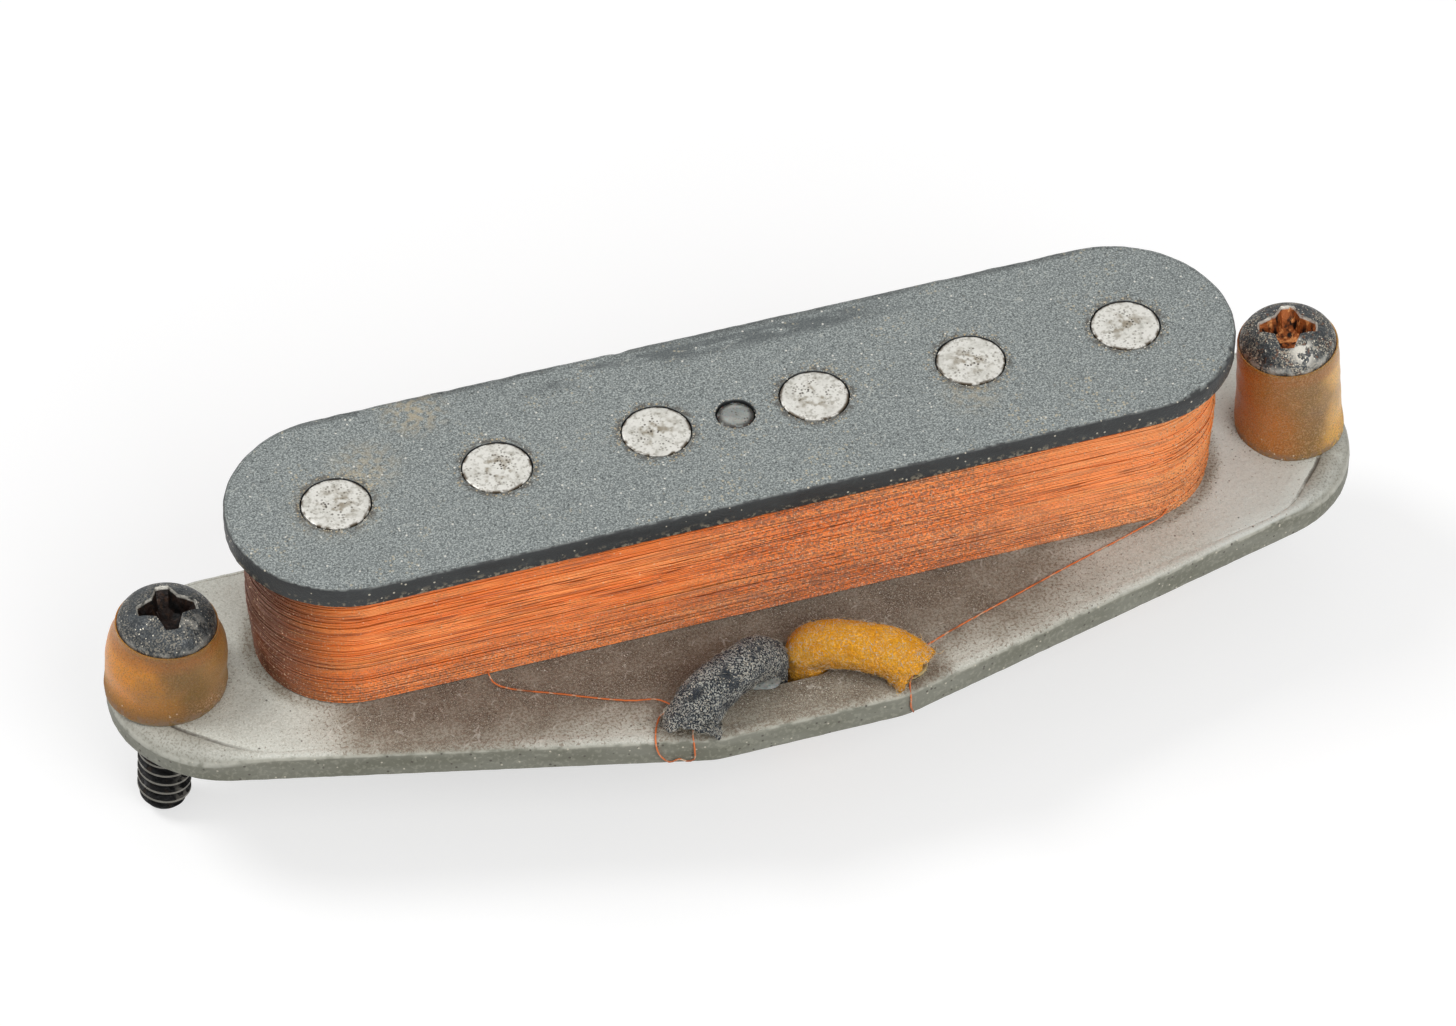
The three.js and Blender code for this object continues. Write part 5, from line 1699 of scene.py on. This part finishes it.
def recess_cutter(top):
    """The cross-shaped cutter of a driver's recess, with worn inner corners, narrower at its floor."""
    rings = []
    for depth, span, wing in ((1.9, 1.0, 0.6), (1.6, 2.4, 0.95), (0.0, RECESS_SPAN, RECESS_WING),
                              (-1.0, RECESS_SPAN + 1.0, RECESS_WING + 0.25)):
        s, w = span / 2, wing / 2
        flare = min(0.72, (s - w) * 0.6)
        quarter = [(s * 0.98, -w * 0.7), (s, 0), (s * 0.98, w * 0.7), (lerp(s, w, 0.4), w * 0.92),
                   (w + flare, w * 1.04), (w + flare * 0.3, w + flare * 0.3), (w * 1.04, w + flare),
                   (w * 0.92, lerp(s, w, 0.4))]
        rings.append([
            Vector((*(Matrix.Rotation(turn * math.pi / 2, 2) @ Vector(p)), top - depth))
            for turn in range(4) for p in quarter
        ])
    return Shape().add_rings(rings)


def build_screw(side, sizes, colours):
    """A height screw: domed head with its cross recess, threaded shank and worn tip."""
    facts, stand = SCREWS[side], screw_stand(side)
    radius, head, rim, crown = HEAD_RADIUS, facts["head"], HEAD_RIM, HEAD_CROWN
    material = screw_steel(colours, f"{side}_blackened_steel", stand, facts)
    top = head + rim + crown
    tip, root = head - SCREW_LENGTH, 1.36
    profile = [(r, tip + rise) for r, rise in (
        (0, 0), (0.5, 0.02), (0.95, 0.14), (1.22, 0.38), (root, 0.7), (root, SCREW_LENGTH - 0.25),
        (1.5, SCREW_LENGTH - 0.12), (1.62, SCREW_LENGTH), (radius - 0.14, SCREW_LENGTH),
        (radius, SCREW_LENGTH + 0.12), (radius, SCREW_LENGTH + rim),
    )]
    for i in range(1, 23):
        angle = math.pi / 2 * i / 22
        profile.append((radius * math.cos(angle), head + rim + crown * math.sin(angle)))
    profile[-1] = (0, top)
    shank = add_piece(f"{side}_screw", turned_shape(profile, 72), material, body=None, sharp=40)
    recess = recess_cutter(top).moved(Matrix.Rotation(facts["turn"], 4, "Z"))
    cutter = add_piece("cutter", recess, material, body=None)
    cut = shank.modifiers.new("Recess", "BOOLEAN")
    cut.object, cut.operation, cut.solver = cutter, "DIFFERENCE", "EXACT"
    soften = shank.modifiers.new("Soften", "BEVEL")
    soften.width, soften.segments = 0.09 * MM, 3
    soften.limit_method, soften.angle_limit = "ANGLE", math.radians(38)
    solid = modified_mesh(shank)
    bpy.data.objects.remove(cutter)
    pitch = sizes.thread_pitch
    ridge = grown_mesh("ridge", point_mesh("none", [(0, 0, 0)]), thread_tree(), {
        "Pitch": pitch, "Turns": (SCREW_LENGTH - 1.0) * MM / pitch, "Root": (root - 0.04) * MM,
        "Depth": 0.42 * MM, "Start": (tip + 0.55) * MM, "Material": material,
    })
    whole = bpy.data.meshes.new(f"{side}_screw_steel")
    fill_mesh(whole, (solid, ridge))
    to_metres = stand.copy()
    to_metres.translation *= MM
    whole.transform(to_metres)
    whole.materials.clear()
    whole.materials.append(material)
    smooth(whole, 32)
    screw = new_object(f"{side}_screw_steel", whole)
    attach(screw, f"{side}_screw")
    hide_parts(f"{side}_height_screw")


def build_tube(side, sizes, colours):
    """A rubber tube squeezed under a screw head, blended between the plate and the screw."""
    facts, stand = SCREWS[side], screw_stand(side)
    material = latex_rubber(colours, f"{side}_amber_latex", facts)
    head, inner = facts["head"], 2.0
    lean = math.radians(SCREW_LEAN)
    foot = 1 / math.cos(lean)
    shares = [0, 0.06, 0.2, 0.4, 0.6, 0.8, 0.93, 1]
    outer = [float(np.interp(i / 32, shares, facts["radii"])) for i in range(33)]
    smoothed = [(sum(outer[max(0, min(32, i + d))] for d in (-2, -1, 0, 1, 2)) / 5, i / 32)
                for i in range(33)]
    lip = [(3.3, 1.03), (3.27, 1.05), (3.2, 1.05)]
    profile = [(inner, 0.0), (inner + 0.7, 0.0), *smoothed, *lip,
               (3.1, 1.0), (inner, 1.0), (inner, 0.5)]
    seed = 3 if side == "left" else 8

    def squeezed(angle, r, share):
        level = foot + r * math.cos(angle) * math.tan(lean) * (1 if side == "left" else -1)
        z = lerp(level, head, share) if share <= 1 else head + (share - 1) * 8
        if r > 2.6 and share < 1.01:
            spot = turned(angle, 1.5, z * 0.7 + seed)
            r += 0.09 * noise.noise(spot * 0.7) + 0.03 * noise.noise(spot * 2.6)
        return r, z

    tube = add_piece(f"{side}_latex_tube", turned_shape(profile, 72, squeezed).moved(stand), material,
                     body=None, sharp=50)
    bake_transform(tube)
    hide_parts(f"{side}_rubber_tube")


def build_crumbs(sizes, colours):
    """Dust crumbs on the plates: round the magnets, at the coil's foot and by the leads."""
    draw = random.Random(41)
    spots = []

    def strew_ring(count, centre, radius, spread):
        for _ in range(count):
            spot = turned(draw.uniform(0, 2 * math.pi), radius + abs(draw.gauss(0, spread)))
            spots.append((centre.x + spot.x, centre.y + spot.y, TOP_HIGH.z))

    for spot in MAGNET_SPOTS:
        strew_ring(70, spot, MAGNET_HOLE_RADIUS + 0.01, 0.16)
    strew_ring(50, Vector((0, ROW_Y)), WAX_HOLE_RADIUS + 0.01, 0.14)
    foot = stadium((0, ROW_Y), COIL_HALF_LENGTH + 0.25, COIL_HALF_WIDTH + 0.25, 0.2)
    for point, normal in zip(foot, outwards(foot)):
        if draw.random() < 0.6:
            spots.append((*(point + normal * abs(draw.gauss(0, 0.6))), PLATE_HIGH.z))
    for _ in range(150):
        x, y = draw.uniform(-9, 9), LEAD_HOLE_Y + draw.gauss(-1.5, 1.5)
        if y > by_front_edge(x, 0, -0.6)[1]:
            spots.append((x, y, PLATE_HIGH.z))
    crumbs = grow_piece("dust_crumbs", point_mesh("crumb_spots", spots), crumb_tree(), {
        "Radius": 0.055 * MM, "Seed": 9, "Material": crumb_finish(colours),
    })


# Studio: millimetres and radians, from the camera fit on the photograph
PHOTO_AIM = Vector((-3.139, ROW_Y - 8.238, TOP_HIGH.z))
CAMERA_TURN, CAMERA_RISE = math.radians(-17.758), math.radians(45.749)
CAMERA_DISTANCE = 438.63
LENS = 173.66
FLOOR_HALF = 1500
SOFTBOXES = (
    ("key_softbox", (-330, 190, 470), 240, 1.35),
    ("front_softbox", (120, -405, 330), 400, 1.6),
)


def build_stage(sizes, colours):
    """A white studio: floor, soft lights and the camera where the photograph was taken."""
    material, world = bpy.data.materials.new("studio_floor"), bpy.data.worlds.new("studio")
    bpy.context.scene.world = world
    trees, seen = [cleared_tree(material), cleared_tree(world)], []
    for tree in trees:
        rays = add_node(tree, "ShaderNodeLightPath").node.outputs
        seen.append(strongest(*(
            rays[f"Is {kind} Ray"] for kind in ("Camera", "Glossy", "Transmission")
        )))
    tree, white = trees[0], (1, 1, 1, 1)
    paper = add_node(tree, "ShaderNodeBsdfDiffuse", {"Color": layered(
        colours.floor, (add_node(tree, "ShaderNodeTexNoise", {"Scale": 40.0}), 0.02, "#bfbfbf"),
    )})
    light = add_node(tree, "ShaderNodeEmission", {"Color": white, "Strength": both(seen[0], 0.56)})
    add_node(tree, "ShaderNodeOutputMaterial", {
        "Surface": add_node(tree, "ShaderNodeAddShader", {0: paper, 1: light}),
    }, out=None)
    add_node(trees[1], "ShaderNodeOutputWorld", {
        "Surface": add_node(trees[1], "ShaderNodeBackground", {
            "Color": white, "Strength": summed((seen[1], 0.6), (1.0, 0.4)),
        }),
    }, out=None)
    corners = [(x * FLOOR_HALF, y * FLOOR_HALF, 0) for x, y in ((-1, -1), (1, -1), (1, 1), (-1, 1))]
    floor = add_piece("studio_floor", Shape().add(corners, [[0, 1, 2, 3]]), material, body=None)

    lens = bpy.data.cameras.new("photo_camera")
    lens.sensor_width, lens.lens, lens.clip_start, lens.clip_end = 36, LENS, 0.01, 10
    back = Euler((-CAMERA_RISE, 0, CAMERA_TURN)).to_matrix() @ Vector((0, -1, 0))
    fittings = [("photo_camera", lens, back * CAMERA_DISTANCE)]
    for name, spot, width, power in SOFTBOXES:
        lamp = bpy.data.lights.new(name, "AREA")
        lamp.shape, lamp.size, lamp.energy = "DISK", width * MM, power
        fittings.append((name, lamp, Vector(spot)))
    for name, data, spot in fittings:
        fitting = new_object(name, data)
        fitting.location = (PHOTO_AIM + spot) * MM
        fitting.rotation_euler = spot.to_track_quat("Z", "Y").to_euler()
    bpy.context.scene.camera = bpy.data.objects["photo_camera"]
    bpy.context.scene.view_settings.view_transform = "Standard"


# Operators

class PickupOperator:
    """What the pickup's operators share: each calls its builder with the scene's settings."""
    builder = None

    def execute(self, context):
        type(self).builder(context.scene.pickup_sizes, context.scene.pickup_colours)
        return {"FINISHED"}


class PICKUP_OT_stage(PickupOperator, bpy.types.Operator):
    """Floor, lights and the camera of the photograph"""
    bl_idname = "pickup.stage"
    bl_label = "Studio"
    builder = build_stage


class PICKUP_OT_plates(PickupOperator, bpy.types.Operator):
    """Top and bottom fibre plates with their holes"""
    bl_idname = "pickup.plates"
    bl_label = "Fibre plates"
    builder = build_plates


class PICKUP_OT_magnets(PickupOperator, bpy.types.Operator):
    """Row of six rod magnets"""
    bl_idname = "pickup.magnets"
    bl_label = "Magnets"
    builder = build_magnets


class PICKUP_OT_coil(PickupOperator, bpy.types.Operator):
    """Wound coil of enamelled wire"""
    bl_idname = "pickup.coil"
    bl_label = "Coil"
    builder = build_coil


class PICKUP_OT_coil_wires(PickupOperator, bpy.types.Operator):
    """Loose ends of the coil wire"""
    bl_idname = "pickup.coil_wires"
    bl_label = "Coil wire ends"
    builder = build_coil_wires


class PICKUP_OT_wax(PickupOperator, bpy.types.Operator):
    """Wax in the middle hole of the top plate"""
    bl_idname = "pickup.wax"
    bl_label = "Wax"
    builder = build_wax


class PICKUP_OT_leads(bpy.types.Operator):
    """Cloth leads with their eyelets, arches and hank"""
    bl_idname = "pickup.leads"
    bl_label = "Leads"

    def execute(self, context):
        sizes, colours = context.scene.pickup_sizes, context.scene.pickup_colours
        copper = build_terminals(sizes, colours)
        materials, nap = cloth_materials(colours), nap_tree()
        build_arches(sizes, colours, materials, nap)
        build_free_leads(sizes, colours, materials, nap, copper)
        return {"FINISHED"}


class PICKUP_OT_screws(bpy.types.Operator):
    """Height screws and their rubber tubes"""
    bl_idname = "pickup.screws"
    bl_label = "Screws and tubes"

    def execute(self, context):
        for side in SCREWS:
            build_screw(side, context.scene.pickup_sizes, context.scene.pickup_colours)
            build_tube(side, context.scene.pickup_sizes, context.scene.pickup_colours)
        return {"FINISHED"}


class PICKUP_OT_crumbs(PickupOperator, bpy.types.Operator):
    """Dust crumbs on both plates"""
    bl_idname = "pickup.crumbs"
    bl_label = "Dust"
    builder = build_crumbs


OPERATORS = (
    PICKUP_OT_stage, PICKUP_OT_leads, PICKUP_OT_plates, PICKUP_OT_magnets, PICKUP_OT_coil,
    PICKUP_OT_coil_wires, PICKUP_OT_wax, PICKUP_OT_screws, PICKUP_OT_crumbs,
)


class PICKUP_PT_pieces(bpy.types.Panel):
    """The pickup's pieces, sizes and colours"""
    bl_label = "Guitar pickup"
    bl_space_type = "VIEW_3D"
    bl_region_type = "UI"
    bl_category = "Pickup"

    def draw(self, context):
        for operator in OPERATORS:
            self.layout.operator(operator.bl_idname)
        for settings in (context.scene.pickup_sizes, context.scene.pickup_colours):
            for name in settings.__annotations__:
                self.layout.prop(settings, name)


CLASSES = (PickupSizes, PickupColours, *OPERATORS, PICKUP_PT_pieces)


def register():
    for entry in CLASSES:
        bpy.utils.register_class(entry)
    bpy.types.Scene.pickup_sizes = bpy.props.PointerProperty(type=PickupSizes)
    bpy.types.Scene.pickup_colours = bpy.props.PointerProperty(type=PickupColours)


def unregister():
    del bpy.types.Scene.pickup_sizes, bpy.types.Scene.pickup_colours
    for entry in reversed(CLASSES):
        bpy.utils.unregister_class(entry)


def main():
    register()
    for operator in OPERATORS:
        group, name = operator.bl_idname.split(".")
        getattr(getattr(bpy.ops, group), name)()


if __name__ == "__main__":
    main()
